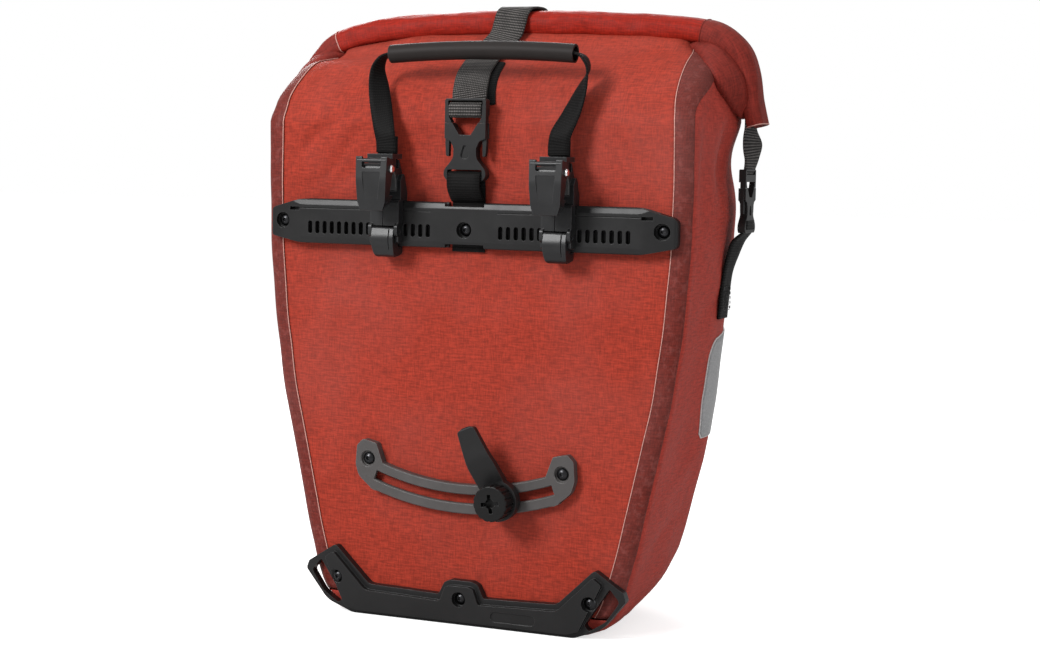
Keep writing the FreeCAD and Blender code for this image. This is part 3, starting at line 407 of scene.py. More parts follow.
def cap_ends(mesh, rows, cols, ends=(0, 1)):
    """Closes the ends of a tube made by grid_mesh(closed=True) with a fan round a middle point."""
    bm = bmesh.new()
    bm.from_mesh(mesh)
    verts = list(bm.verts)
    layer = bm.loops.layers.uv["cloth"]
    for end in ends:
        row = end * (rows - 1)
        ring = verts[row * cols:(row + 1) * cols]
        middle = bm.verts.new(sum((v.co for v in ring), Vector()) / cols)
        for a, b in zip(ring, ring[1:] + ring[:1]):
            face = bm.faces.new((a, b, middle) if end else (b, a, middle))
            for loop in face.loops:
                loop[layer].uv = (loop.vert.co.x, loop.vert.co.y + loop.vert.co.z)
    bmesh.ops.recalc_face_normals(bm, faces=bm.faces)
    bm.to_mesh(mesh)
    bm.free()


def run_of(points):
    """Running length along an array of points."""
    steps = np.linalg.norm(np.diff(points, axis=0), axis=1)
    return np.concatenate([[0], np.cumsum(steps)])


CURVE_STEPS = 24


def resample(points, count):
    """Evenly spaced points on the Catmull-Rom curve through the given ones, each of any dimension."""
    p = np.array([points[0]] + list(points) + [points[-1]], float)
    fine = []
    for a, b, c, d in zip(p, p[1:], p[2:], p[3:]):
        for t in np.linspace(0, 1, CURVE_STEPS, endpoint=False):
            fine.append(0.5 * (2 * b + (c - a) * t + (2 * a - 5 * b + 4 * c - d) * t * t
                               + (3 * b - a - 3 * c + d) * t ** 3))
    fine = np.array(fine + [p[-2]])
    run = run_of(fine[:, :3])
    want = np.linspace(0, run[-1], count)
    return np.stack([np.interp(want, run, fine[:, i]) for i in range(fine.shape[1])], axis=1)


# ---- fabric body ---------------------------------------------------------------------------
TOP = BODY_TOP - 1 * MM
NECK = 12 * MM          # the mouth runs on up into the roll


@functools.lru_cache(maxsize=None)
def section(z):
    """The body's plan outline at a height, from the middle of the mounting face round one side to the
    middle of the front, as points and their running length."""
    neck = smooth(0, NECK, z - TOP)
    z = min(z, TOP)
    w, back, front = body_size(z)
    back += 0.7 * neck * (ROLL_Y - back)
    front += 0.7 * neck * (ROLL_Y - front)
    depth = front - back
    share = side_share(z)
    rounded = CORNER_R + SHOULDER_ROUNDING * max(0, z - FLAT_TOP_Z)
    r = min(rounded, 0.34 * depth, max(CORNER_R, share * depth - 1 * MM))
    side_y = back + share * depth
    line = [(x, back) for x in np.linspace(0, w - r, 24)[:-1]]
    line += [(w - r + r * math.sin(a), back + r - r * math.cos(a)) for a in np.linspace(0, math.pi / 2, 14)]
    line += [(w, y) for y in np.linspace(back + r, side_y, 12)[1:]]
    reach = side_y + FULLNESS * (front - side_y)
    for t in np.linspace(0, 1, 60)[1:]:
        b = [(1 - t) ** 3, 3 * t * (1 - t) ** 2, 3 * t * t * (1 - t), t ** 3]
        x = (b[0] + b[1] + b[2] * FULLNESS) * w
        y = b[0] * side_y + b[1] * reach + (b[2] + b[3]) * front
        line.append((x, y))
    line = np.array(line)
    return line, run_of(line)


def seam_s(z):
    """Running length from the middle of the mounting face to the seam with the gusset."""
    return body_size(min(z, FLAT_TOP_Z))[0] - SEAM_BAND - 0.11 * max(0, z - FLAT_TOP_Z)


def total_s(z):
    """Running length from the middle of the mounting face to the middle of the front."""
    return section(z)[1][-1]


def s_at_y(z, y):
    """Running length at which the outline passes a depth, on the side and front."""
    line, run = section(z)
    y = min(y, line[:, 1].max() - 12 * MM)
    return run[int(np.argmax(line[:, 1] > y))]


def front_seam_line():
    """Running length of the front seam at even heights, with the steps between samples smoothed away."""
    levels = np.linspace(0.0, BODY_TOP, 87)
    raw = np.array([s_at_y(round(float(z), 5), FRONT_SEAM_Y - 45 * MM * smooth(FLAT_TOP_Z, BODY_TOP, z))
                    for z in levels])
    padded = np.concatenate([raw[:1].repeat(4), raw, raw[-1:].repeat(4)])
    return levels, np.convolve(padded, np.hanning(11)[1:-1] / np.hanning(11).sum(), mode="valid")


FRONT_SEAM = front_seam_line()


def front_seam_s(z):
    return float(np.interp(z, *FRONT_SEAM))


# Creases pressed into the fabric: start and end (running length, height), width and height, in mm.
FACE_CREASES = [
    (-132, 322, -90, 356, 4.5, -1.7), (-122, 301, -84, 337, 3.5, -1.4), (-112, 292, -80, 320, 4, -1),
    (-136, 352, -118, 300, 9, 1.7), (118, 312, 98, 358, 5, -1.2), (132, 296, 118, 342, 7, 1.2),
    (-104, 252, -58, 245, 4.5, -1), (38, 249, 112, 244, 5, -0.9), (-112, 206, 112, 216, 15, 1),
    (34, 378, 29, 312, 8, -1), (-34, 374, -31, 328, 6, -1), (90, 356, 85, 312, 7, -1.1),
    (-100, 398, 100, 401, 5, -1.5), (-120, 240, -132, 190, 7, -0.9), (96, 168, 118, 128, 8, -0.9),
    (-96, 132, -112, 88, 8, 0.9), (-60, 60, 60, 54, 9, 0.9), (-128, 384, -96, 372, 5, -1.4),
    (104, 390, 132, 372, 5, -1.4),
]
SIDE_CREASES = [
    (178, 366, 172, 292, 10, -1.4), (197, 362, 191, 292, 13, 1.6), (213, 350, 208, 304, 10, -2.4),
    (230, 346, 224, 316, 9, 1.6), (164, 342, 160, 300, 7, 1), (172, 262, 222, 236, 11, 1.2),
    (168, 214, 232, 226, 9, -1.2), (170, 128, 226, 104, 10, -1.3), (160, 92, 224, 118, 9, 1.1),
    (150, 60, 214, 76, 7, -1.3), (140, 34, 205, 44, 6, 1),
]
FRONT_CREASES = [
    (262, 336, 306, 262, 12, -1.8), (318, 386, 330, 306, 9, -1.8), (360, 384, 352, 322, 8, 1.6),
    (292, 122, 372, 96, 12, -1.5), (282, 182, 372, 204, 15, 1.5), (252, 84, 322, 58, 10, -1.5),
    (372, 262, 302, 236, 12, 1.2), (300, 346, 352, 336, 9, -1.2),
]


def crease(s, z, folds):
    """Height of all the creases at a point, in mm; s and z are in mm."""
    d = 0.0
    for s0, z0, s1, z1, width, height in folds:
        ds, dz = s1 - s0, z1 - z0
        long = math.hypot(ds, dz)
        t = ((s - s0) * ds + (z - z0) * dz) / (long * long)
        if not -0.3 < t < 1.3:
            continue
        away = ((s - s0) * dz - (z - z0) * ds) / long
        away += 2.5 * math.sin(4.0 * t + s0)
        if abs(away) < 3 * width:
            d += height * math.exp(-(away / width) ** 2) * smooth(-0.3, 0.25, t) * smooth(1.3, 0.75, t)
    return d


def stand_off(x, y, z, s):
    """How far the fabric stands off its smooth surface, in metres; s is the signed running length."""
    sm, zm = s / MM, z / MM
    on_face = smooth(15.0, 0.0, (y - body_size(min(z, TOP))[1]) / MM)
    side = 1 if x > 0 else -1
    broad = noise.noise(Vector((x * 14, y * 14, z * 11)))
    folds = noise.noise(Vector((x * 30 + z * 12, y * 30, z * 16)))
    beside_rail = 1 - bump(zm, 275, 22) * smooth(158, 150, abs(sm))
    d = on_face * (0.5 * broad + 0.45 * folds) * beside_rail
    d += on_face * crease(sm, zm, FACE_CREASES) * smooth(11, 24, abs(sm)) * beside_rail
    high = smooth(310, 365, zm)
    d += high * (1.3 * noise.noise(Vector((x * 26, 3.1, z * 9))) + 0.7 * folds) * smooth(402, 385, zm)
    free = 1 - on_face
    d += free * (1.8 * noise.noise(Vector((x * 11 + side, y * 17, z * 8))) + 1.0 * folds)
    d += free * (1.0 if side > 0 else 0.8) * crease(abs(sm), zm, SIDE_CREASES + FRONT_CREASES)
    # the gusset is pulled out to the roll's hanging ends and pinched below them
    pulled = bump(y / MM, 80, 42) * free
    d += pulled * (5.5 * bump(zm, 350, 14) - 2.0 * bump(zm, 318, 14) + 1.5 * bump(zm, 288, 14))
    return d * MM * smooth(0, 22, zm)


def top_drop(x, z):
    """How much the body's top edge hangs lower, under the drooping ends of the roll."""
    xm = x / MM
    return (10 * smooth(60, 140, -xm) + 4 * smooth(80, 145, xm)) * MM * smooth(384, 404, z / MM)


def on_body(s, sign, z, offset):
    """Points on the fabric for arrays of running length, side (+1 or -1) and height, and on the smooth
    surface under it."""
    base = np.zeros(s.shape + (3,))
    for i in np.ndindex(s.shape):
        line, run = section(round(float(z[i]), 5))
        base[i] = (np.interp(s[i], run, line[:, 0]) * sign[i], np.interp(s[i], run, line[:, 1]), z[i])
    normal = np.cross(np.gradient(base, axis=1), np.gradient(base, axis=0))
    normal /= np.linalg.norm(normal, axis=-1)[..., None] + 1e-12
    outward = base - np.array(CORE)
    normal *= np.where(np.sum(normal * outward, axis=-1) < 0, -1.0, 1.0)[..., None]
    points = base.copy()
    for i in np.ndindex(s.shape):
        x, y, height = base[i]
        points[i] += normal[i] * (offset + stand_off(x, y, height, s[i] * sign[i]))
        points[i][2] -= top_drop(x, height)
    return points, base


def add_thickness(obj, thickness, offset):
    solid = obj.modifiers.new("cloth thickness", "SOLIDIFY")
    solid.thickness = thickness
    solid.offset = offset


def thicken(obj):
    """Gives a sheet its thickness, inwards from its modelled face."""
    bm = bmesh.new()
    bm.from_mesh(obj.data)
    bm.faces.ensure_lookup_table()
    middle = bm.faces[len(bm.faces) // 2]
    if middle.normal.dot(middle.calc_center_median() - Vector(CORE)) < 0:
        bmesh.ops.reverse_faces(bm, faces=bm.faces)
    bm.to_mesh(obj.data)
    bm.free()
    add_thickness(obj, 0.7 * MM, -1.0)


ROW_STEP = 3.5 * MM


def cloth_piece(name, s, sign, z, material, slot, offset=0.0, replaces=()):
    """A cut piece of fabric lying on the body."""
    points, base = on_body(s, sign, z, offset)
    up = run_of(base[:, base.shape[1] // 2])
    along = np.array([run_of(row) for row in base])
    along -= along[:, along.shape[1] // 2][:, None]
    uvs = np.stack([along, np.repeat(up[:, None], s.shape[1], axis=1)], axis=-1)
    obj = add_object(name, grid_mesh(name, points, uvs), material, "bag", replaces)
    thicken(obj)


def strip(z_values, low, high, count, side):
    """Arrays for a piece of one side between two running lengths that vary with height."""
    s = np.array([np.linspace(low(z), high(z), count) for z in z_values])
    return s, np.full(s.shape, float(side)), np.repeat(z_values[:, None], count, axis=1)


def heights(low, high):
    return np.linspace(low, high, max(2, int((high - low) / ROW_STEP) + 1))


LAP = 0.5 * MM                # each layer of cloth lies this much or a multiple of it higher
FACE_COLS = 95
SEAM_LOW = BASE_SEAM_Z + 2 * MM
FACE_Z = heights(SEAM_LOW, TOP + NECK)
WALL_Z = heights(BASE_SEAM_Z - 0.5 * MM, TOP + NECK)


def make_mounting_face():
    half = np.array([np.linspace(-seam_s(z) - 1 * MM, seam_s(z) + 1 * MM, FACE_COLS) for z in FACE_Z])
    z = np.repeat(FACE_Z[:, None], FACE_COLS, axis=1)
    cloth_piece("back_panel_cloth", np.abs(half), np.sign(half), z, "panel_fabric", "panel_fabric",
                replaces=("back_panel",))


def make_front():
    reach = [total_s(z) - front_seam_s(z) + 2 * MM for z in WALL_Z]
    half = np.array([np.linspace(-r, r, FACE_COLS) for r in reach])
    s = np.array([[total_s(z)] * FACE_COLS for z in WALL_Z]) - np.abs(half)
    z = np.repeat(WALL_Z[:, None], FACE_COLS, axis=1)
    cloth_piece("front_panel_cloth", s, np.where(half < 0, -1.0, 1.0), z, "panel_fabric", "panel_fabric",
                replaces=("front_panel",))


def band_edge(z):
    """Outer edge of the dark band, which covers most of the shoulder but stays off the front."""
    wide = seam_s(z) + SEAM_BAND + 30 * MM * smooth(352, 392, z / MM)
    return min(wide, front_seam_s(z) - 6 * MM)


def make_gusset(side, label):
    cloth_piece(f"gusset_cloth_{label}",
                *strip(WALL_Z, lambda z: seam_s(z) + SEAM_BAND - 2 * MM, front_seam_s, 53, side),
                "gusset_fabric", "gusset_fabric", LAP, replaces=(f"gusset_{label}",))
    cloth_piece(f"gusset_band_{label}",
                *strip(FACE_Z, seam_s, band_edge, 17, side),
                "band_fabric", "gusset_fabric", LAP * 1.6)
    edges = {"back": (lambda z: seam_s(z) - 0.35 * MM, lambda z: seam_s(z) + 0.2 * MM),
             "front": (lambda z: front_seam_s(z) - 0.4 * MM, lambda z: front_seam_s(z) + 0.5 * MM)}
    for place, (low, high) in edges.items():
        cloth_piece(f"seam_edge_{place}_{label}", *strip(FACE_Z, low, high, 3, side),
                    "seam_edge", "gusset_fabric", LAP * 2.2)


def make_base():
    """Bottom of the bag: a flat panel whose rim turns up to the seam."""
    rim_z = np.array([0.6, 1.2, 2.5, 4.5, 7.0, 10.0, 12.6]) * MM
    rings = []
    for z in rim_z:
        line, run = section(round(float(z), 5))
        s = np.linspace(0, run[-1], 60)
        right = np.stack([np.interp(s, run, line[:, 0]), np.interp(s, run, line[:, 1])], axis=1)
        loop = np.concatenate([right, right[-2:0:-1] * np.array([-1, 1])])
        rings.append(np.column_stack([loop, np.full(len(loop), z)]))
    middle = np.array([0, 0.06, rim_z[0]])
    inner = [middle + (rings[0] - middle) * k for k in (0.02, 0.25, 0.5, 0.75, 0.93)]
    points = np.array(inner + rings)
    flat = points[..., :2] * (1 + points[..., 2:] * 8)
    uvs = np.concatenate([flat, flat[:, :1]], axis=1)
    obj = add_object("base_cloth", grid_mesh("base_cloth", points, uvs, closed=True), "gusset_fabric", "bag",
                     ("base_panel",))
    bm = bmesh.new()
    bm.from_mesh(obj.data)
    bmesh.ops.recalc_face_normals(bm, faces=bm.faces)
    bm.to_mesh(obj.data)
    bm.free()
    add_thickness(obj, 0.5 * MM, 1.0 if obj.data.polygons[0].normal.z > 0 else -1.0)
    width, length = 2 * body_size(BASE_SEAM_Z)[0] + 20 * MM, FRONT_SEAM_Y + 20 * MM


def corner_inset(v, radius, share):
    """How far a patch's edge stands in where its corners are rounded; v runs from 0 to 1 along it."""
    return radius * (1 - math.sqrt(1 - (1 - min(1, min(v, 1 - v) / share)) ** 2))


def make_reflector(side, label):
    """Reflective patch on the gusset with a pale welded rim."""
    low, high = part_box(f"reflector_{label}")
    rows, cols = 21, 17
    for part, grow, material, lift in (("film", 0.0, "reflective_film", 1.5),
                                       ("rim", 0.8, "reflector_edge", 1.15)):
        s = np.zeros((rows, cols))
        z = np.zeros((rows, cols))
        for r, v in enumerate(np.linspace(0, 1, rows)):
            waist = 4.5 * math.sin(math.pi * v)
            lean = 3 - 13 * smooth(0, 0.45, v) + 5 * smooth(0.82, 1.0, v)
            y0 = high.y / MM - 44 + lean - grow
            y1 = high.y / MM - 4 + 3 * v + waist * 0.4 + grow
            inset = corner_inset(v, 5, 0.08)
            for c, u in enumerate(np.linspace(0, 1, cols)):
                skew = 6 * (u - 1) * v - 4 * (1 - v) + grow * (2 * v - 1)
                z[r, c] = low.z + (high.z - low.z) * v + skew * MM
                s[r, c] = s_at_y_smooth(z[r, c], (y0 + inset + (y1 - y0 - 2 * inset) * u) * MM)
        cloth_piece(f"reflector_{part}_{label}", s, np.full(s.shape, float(side)), z, material,
                    "reflective_film", lift * MM, replaces=(f"reflector_{label}",) if part == "film" else ())


def s_at_y_smooth(z, y):
    """Running length at which the side of the outline passes a depth, between its points."""
    line, run = section(round(float(z), 5))
    first = int(np.argmax(line[:, 1] > line[0, 1] + 1e-6))
    return float(np.interp(y, line[first:, 1], run[first:]))


make_mounting_face()
make_front()
make_base()
for side, label in ((1, "right"), (-1, "left")):
    make_gusset(side, label)
    make_reflector(side, label)


# ---- the rolled mouth ----------------------------------------------------------------------
# Middle of the roll: across, height, half height and half depth, from the left end to the right, in mm.
ROLL_LINE = resample([
    (-174.5, 346, 7, 11.5), (-170, 361, 7.2, 12), (-163, 377, 7.8, 13),
    (-153.5, 391, 8.8, 14.5), (-140, 401, 9.6, 16), (-122, 407.2, 10.2, 16.8),
    (-92, 411.8, 10.3, 17), (-46, 414.6, 10.3, 17), (0, 415.4, 10.3, 17),
    (50, 414.6, 10.3, 17), (99, 412, 10.2, 17), (134, 409.4, 9.8, 16.6),
    (152, 404.6, 9.2, 15.8), (164, 395, 8.4, 14.4), (170.6, 380.5, 7.6, 12.8),
    (174, 362.5, 7.2, 11.8), (178, 346, 7, 11.5),
], 170)
ROLL_AHEAD = np.gradient(ROLL_LINE[:, :2], axis=0)
ROLL_REACH = 200.0                # past both ends of the line, in mm
ROLL_SEAMS = (-138.0, 142.0)      # the dark gusset ends of the roll start here, in mm
ROLL_LAP = 2.0                    # the dark ends lap over the middle by this much, in mm
ROLL_COLS, EAR_COLS = 56, 40
LAP_EDGE = math.radians(126)      # angle at which the outermost layer ends, on the lower front


def oval(angle, half_height, half_depth, power=2.7):
    """Height and depth of a flattened oval at an angle from its top towards its front."""
    c, s = math.cos(angle), math.sin(angle)
    return (half_height * math.copysign(abs(c) ** (2 / power), c),
            half_depth * math.copysign(abs(s) ** (2 / power), s))


def layer_step(angle):
    """Drop from the outermost layer to the one below it, which fades round the back, in mm."""
    past = (angle - LAP_EDGE) % (2 * math.pi)
    return -1.5 * smooth(0.0, 0.10, past) * smooth(4.2, 0.8, past)


def square_to(ahead):
    """Unit vector square to the roll's line, which runs on by (across, height)."""
    tangent = Vector((ahead[0], 0, ahead[1])).normalized()
    return Vector((-tangent.z, 0, tangent.x))


def ring_point(x, z, out, up, depth):
    return Vector((x, ROLL_Y / MM, z)) + out * up + Vector((0, -depth, 0))


def roll_ring(row, ahead, swell):
    """One cross-section of the roll."""
    x, z, half_height, half_depth = row
    out = square_to(ahead)
    ring = []
    for angle in np.linspace(0, 2 * math.pi, ROLL_COLS, endpoint=False):
        up, depth = oval(angle, half_height, half_depth)
        lump = swell + layer_step(angle)
        lump += 1.0 * noise.noise(Vector((x * 0.030, angle * 1.1, 5.0)))
        lump += 0.55 * noise.noise(Vector((x * 0.085 + z * 0.05, angle * 2.2, 9.0)))
        lump -= 1.1 * bump(x, 5, 15)      # pressed in by the centre strap
        reach = math.hypot(up, depth)
        k = (reach + lump) / reach
        ring.append(ring_point(x, z, out, up * k, depth * k))
    return np.array(ring)


def tube_uvs(points):
    """UVs in metres: along the line, and round the section."""
    cols = points.shape[1]
    along = run_of(points.mean(axis=1))
    loop = np.concatenate([points, points[:, :1]], axis=1)
    around = np.array([run_of(r) for r in loop])
    return np.stack([np.repeat(along[:, None], cols + 1, axis=1), around], axis=-1)


def tube(name, points, material, ends=(), slot="gusset_fabric", replaces=()):
    """Fabric of the bag through closed rings of points, with the given ends capped."""
    mesh = grid_mesh(name, points, tube_uvs(points), closed=True)
    if ends:
        cap_ends(mesh, *points.shape[:2], ends)
    return add_object(name, mesh, material, "bag", replaces)


def roll_piece(name, low, high, swell, material, **rest):
    """The stretch of the roll between two places across."""
    chosen = [i for i, row in enumerate(ROLL_LINE) if low <= row[0] <= high]
    points = np.array([roll_ring(ROLL_LINE[i], ROLL_AHEAD[i], swell) for i in chosen]) * MM
    return tube(name, points, material, **rest), points


# Ridges and grooves of the roll's cut end: share of the ring, and depth in mm.
WOUND_LAYERS = [(1.0, 0.0), (0.96, -0.5), (0.90, -0.3), (0.86, 1.6), (0.80, 1.6), (0.76, -0.2), (0.70, -0.2),
                (0.65, 1.8), (0.57, 1.8), (0.52, 0.1), (0.46, 0.1), (0.41, 2.0), (0.30, 2.0), (0.26, 0.4),
                (0.20, 0.4), (0.14, 2.2), (0.05, 2.2)]
RIM = [(0.1, -0.4), (0.25, -0.3), (0.3, 0.05), (0.1, 0.25), (-0.3, 0.25), (-0.4, 0.05)]
WELT = [(-0.35, 0.3), (-0.25, 0.75), (0.25, 0.75), (0.35, 0.3)]


def roll_end(label, ring):
    """Cut end of the roll: its wound layers show as ridges round a flat core."""
    middle = ring.mean(axis=0)
    rows = [middle + (ring - middle) * k + np.array([0, 0, sink * MM]) for k, sink in WOUND_LAYERS]
    tube(f"roll_cut_end_{label}", np.array(rows), "patch_fabric", (1,))


def roll_rim(label, before, end):
    """Pale cut edge of the outermost layer round the end of the roll."""
    away = (end - before) / np.linalg.norm(end - before, axis=1)[:, None]
    radial = end - end.mean(axis=0)
    radial /= np.linalg.norm(radial, axis=1)[:, None]
    rows = [end + radial * a * MM + away * b * MM for a, b in RIM]
    tube(f"roll_rim_{label}", np.array(rows), "seam_edge")


def roll_seam(label, x, material):
    """Low welt round the roll where its dark end starts."""
    i = int(np.argmin(np.abs(ROLL_LINE[:, 0] - x)))
    ahead = ROLL_AHEAD[i]
    shift = np.array([ahead[0], ahead[1], 0, 0]) / np.linalg.norm(ahead)
    rows = [roll_ring(ROLL_LINE[i] + shift * k, ahead, swell) for k, swell in WELT]
    tube(f"roll_seam_{label}", np.array(rows) * MM, material)


def make_roll():
    left, right = ROLL_SEAMS[0] + ROLL_LAP, ROLL_SEAMS[1] - ROLL_LAP
    middle = roll_piece("roll_middle", *ROLL_SEAMS, 0.0, "roll_fabric", slot="panel_fabric",
                        replaces=("roll_closure",))[0]
    for label, low, high, outer, inner in (("left", -ROLL_REACH, left, 0, 1),
                                           ("right", right, ROLL_REACH, -1, -2)):
        piece, points = roll_piece(f"roll_end_{label}", low, high, 0.4, "cuff_fabric")
        roll_end(label, points[outer])
        roll_rim(label, points[inner], points[outer])
    roll_seam("left", left, "seam_edge")
    roll_seam("right", right, "cuff_fabric")


# Folded lobe of gusset under each drooping end: across, height, half thickness, half depth, in mm.
EAR_LINE = [(129, 399, 3, 9), (138, 399, 7.5, 18), (147.5, 393, 11, 27), (154.5, 384, 13, 32),
            (160, 375, 13, 32), (164.5, 366, 11, 27), (168, 358, 7.5, 18), (169.8, 351, 2.5, 8)]


LEFT_EAR_DROP = 5 * MM


def make_ear(side, label):
    rows = []
    line = resample(EAR_LINE, 44)
    for (x, z, thick, deep), ahead in zip(line, np.gradient(line[:, :2], axis=0)):
        out = square_to(ahead)
        ring = []
        for angle in np.linspace(0, 2 * math.pi, EAR_COLS, endpoint=False):
            up, depth = oval(angle, thick, deep, 2.2)
            # a soft valley runs down each face of the fold
            valley = 1.6 * bump(math.degrees(angle), 62, 16) + 1.6 * bump(math.degrees(angle), 298, 16)
            wave = 0.9 * noise.noise(Vector((x * 0.06, z * 0.06, angle * 1.3 + side)))
            k = 1 + (wave - valley) / max(math.hypot(up, depth), 4)
            if depth < 0:
                k *= 0.72
            ring.append(ring_point(x, z, out, up * k, depth * k))
        rows.append(ring)
    points = np.array(rows) * MM
    points[..., 0] *= side
    points[..., 2] -= LEFT_EAR_DROP if side < 0 else 0
    obj = tube(f"gusset_fold_{label}", points, "cuff_fabric", (0, 1))


make_roll()
for side, label in ((1, "right"), (-1, "left")):
    make_ear(side, label)


# ---- webbing -------------------------------------------------------------------------------
WEB_THICKNESS = 1.6
# Outline of the webbing, as shares of half its width and half its thickness.
WEB_SECTION = [(-1, -0.07), (-0.97, -1), (-0.5, -1), (0, -1), (0.5, -1), (0.97, -1), (1, -0.07),
               (1, 0.07), (0.97, 1), (0.5, 1), (0, 1), (-0.5, 1), (-0.97, 1), (-1, 0.07)]


def strap(name, stations, material, count, body="bag", thickness=WEB_THICKNESS, replaces=()):
    """Webbing through stations of (x, y, z, x and y of the direction of its width, width), in mm."""
    rows = resample(stations, count)
    centre = rows[:, :3] * MM
    along = np.gradient(centre, axis=0)
    along /= np.linalg.norm(along, axis=1)[:, None]
    wide = np.column_stack([rows[:, 3:5], np.zeros(count)])
    wide = wide - along * np.sum(wide * along, axis=1)[:, None]
    wide /= np.linalg.norm(wide, axis=1)[:, None]
    normal = np.cross(wide, along)
    run = run_of(centre)
    cols = len(WEB_SECTION)
    points = np.zeros((count, cols, 3))
    uvs = np.zeros((count, cols + 1, 2))
    for i in range(count):
        half_width = rows[i, 5] * MM / 2
        for c in range(cols + 1):
            a, b = WEB_SECTION[c % cols]
            uvs[i, c] = (a * half_width, run[i])
            if c < cols:
                points[i, c] = centre[i] + wide[i] * a * half_width + normal[i] * b * thickness * MM / 2
    mesh = grid_mesh(name, points, uvs, closed=True)
    cap_ends(mesh, count, cols)
    return add_object(name, mesh, material, body, replaces)


def level(path, width):
    """Stations of a strap that runs in depth and height, with its width across the bag."""
    return [(0, y, z, 1, 0, width) for y, z in path]


def mirrored(side, stations):
    """Stations given for the right side, on side +1, or their mirror image on side -1."""
    return [(side * x, y, z, side * a, b, width) for x, y, z, a, b, width in stations]


STITCH, STITCH_GAP, THREAD_R = 2.3, 0.9, 0.26
# Rings of a stitch: place, as a share of half its length, and share of the thread's radius.
STITCH_RINGS = ((-1.0, 0.35), (-0.75, 0.95), (-0.25, 1.1), (0.25, 1.1), (0.75, 0.95), (1.0, 0.35))
THREAD_COLS = 6


def stitches(name, rows, normal):
    """Sewn lines: each row is a (start, end) pair in mm, and each stitch is a short raised thread."""
    bm = bmesh.new()
    up = Vector(normal).normalized()
    for start, end in rows:
        start, end = Vector(start), Vector(end)
        run = (end - start).length
        along = (end - start) / run
        side = up.cross(along).normalized()
        number = max(1, int(run / (STITCH + STITCH_GAP)))
        for k in range(number):
            middle = start + along * (k + 0.5) * run / number
            rings = []
            for t, k_r in STITCH_RINGS:
                spot = middle + along * t * STITCH / 2 + up * (0.10 * (1 - t * t))
                ring = [bm.verts.new((spot + (side * math.cos(a) + up * math.sin(a)) * THREAD_R * k_r) * MM)
                        for a in np.linspace(0, 2 * math.pi, THREAD_COLS, endpoint=False)]
                rings.append(ring)
            for a, b in zip(rings, rings[1:]):
                for i in range(THREAD_COLS):
                    j = (i + 1) % THREAD_COLS
                    bm.faces.new((a[i], a[j], b[j], b[i]))
            bm.faces.new(rings[0][::-1])
            bm.faces.new(rings[-1])
    bmesh.ops.recalc_face_normals(bm, faces=bm.faces)
    mesh = bpy.data.meshes.new(name)
    bm.to_mesh(mesh)
    bm.free()
    add_object(name, mesh, "black_thread", "bag")


def front_y(z):
    return body_size(z * MM)[2] / MM


def make_centre_strap():
    """Grey closure strap: sewn to the front, over the roll, down to its buckle."""
    up_front = [(front_y(z) + WEB_THICKNESS, z) for z in (240, 262, 285, 307, 330)]
    over = [(161.4, 346), (154.6, 363), (141.2, 377.4), (124.2, 389.6), (109.8, 399.8), (101.4, 406.2),
            (97.6, 411.2), (96.4, 417), (94.7, 422.4), (90.6, 426.2), (84.5, 427.4), (77, 427.5), (70, 427.2),
            (64.6, 425.8), (60.6, 421.8), (58.6, 416), (55.0, 407.6), (46.6, 400.4), (31.6, 390.4)]
    stations = []
    for y, z in up_front + over:
        x = 5.0 * smooth(165, 100, y) if y > 70 else 5.0 - 10.6 * smooth(72, 34, y)
        stations.append((x, y, z, 1, 0, 25))
    strap("centre_strap_web", stations, "grey_webbing", 150, replaces=("centre_strap",))
    end = [(-5.6, 31.6, 390.2, 1, 0.02, 25), (-5.4, 15.6, 379.6, 1, 0.04, 25),
           (-2.2, 2.6, 368.6, 1, 0.02, 25), (0.0, -4.0, 360.4, 1, 0, 24.8), (0.0, -6.6, 357.9, 1, 0, 24.4)]
    piece = strap("centre_strap_drop", end, "grey_webbing", 40, replaces=("centre_strap_end",))
    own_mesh(piece)
    tail = [(3.0, 30.5, 387.4, 1, 0.25, 16), (4.0, 14.2, 374.6, 1, 0.3, 17), (6.4, 4.6, 364.0, 1, 0.3, 17),
            (8.4, 1.4, 356.5, 1, 0.2, 16.5)]
    loose = strap("centre_strap_tail", tail, "black_webbing", 36)
    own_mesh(loose)


def make_buckle_band():
    """Fold of the strap round the bar of the centre buckle's male half."""
    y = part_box("centre_buckle_male")[0].y / MM
    bar = 353.6
    half = [(4.6, 4.6), (1.2, 4.4), (-0.6, 3.2)]
    path = [(y + out, bar + up) for out, up in half] + [(y - 1.1, bar)]
    path += [(y + out, bar - up) for out, up in half[::-1]]
    strap("centre_strap_fold", level(path, 23.6), "grey_webbing", 40, "centre_male", thickness=1.3)


def make_strap_patch():
    """Welded patch of dark fabric that carries the sewn end of the centre strap."""
    low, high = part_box("centre_strap_patch")
    rows, cols = 17, 13
    s, z, sign = np.zeros((3, rows, cols))
    for r, v in enumerate(np.linspace(0, 1, rows)):
        inset = corner_inset(v, 6 * MM, 0.1)
        height = low.z + (high.z - low.z) * v
        for c, u in enumerate(np.linspace(-1, 1, cols)):
            x = u * (high.x - inset)
            z[r, c] = height
            s[r, c] = total_s(round(float(height), 5)) - abs(x)
            sign[r, c] = 1 if x >= 0 else -1
    cloth_piece("strap_patch", s, sign, z, "patch_fabric", "patch_fabric", 1.0 * MM,
                replaces=("centre_strap_patch",))


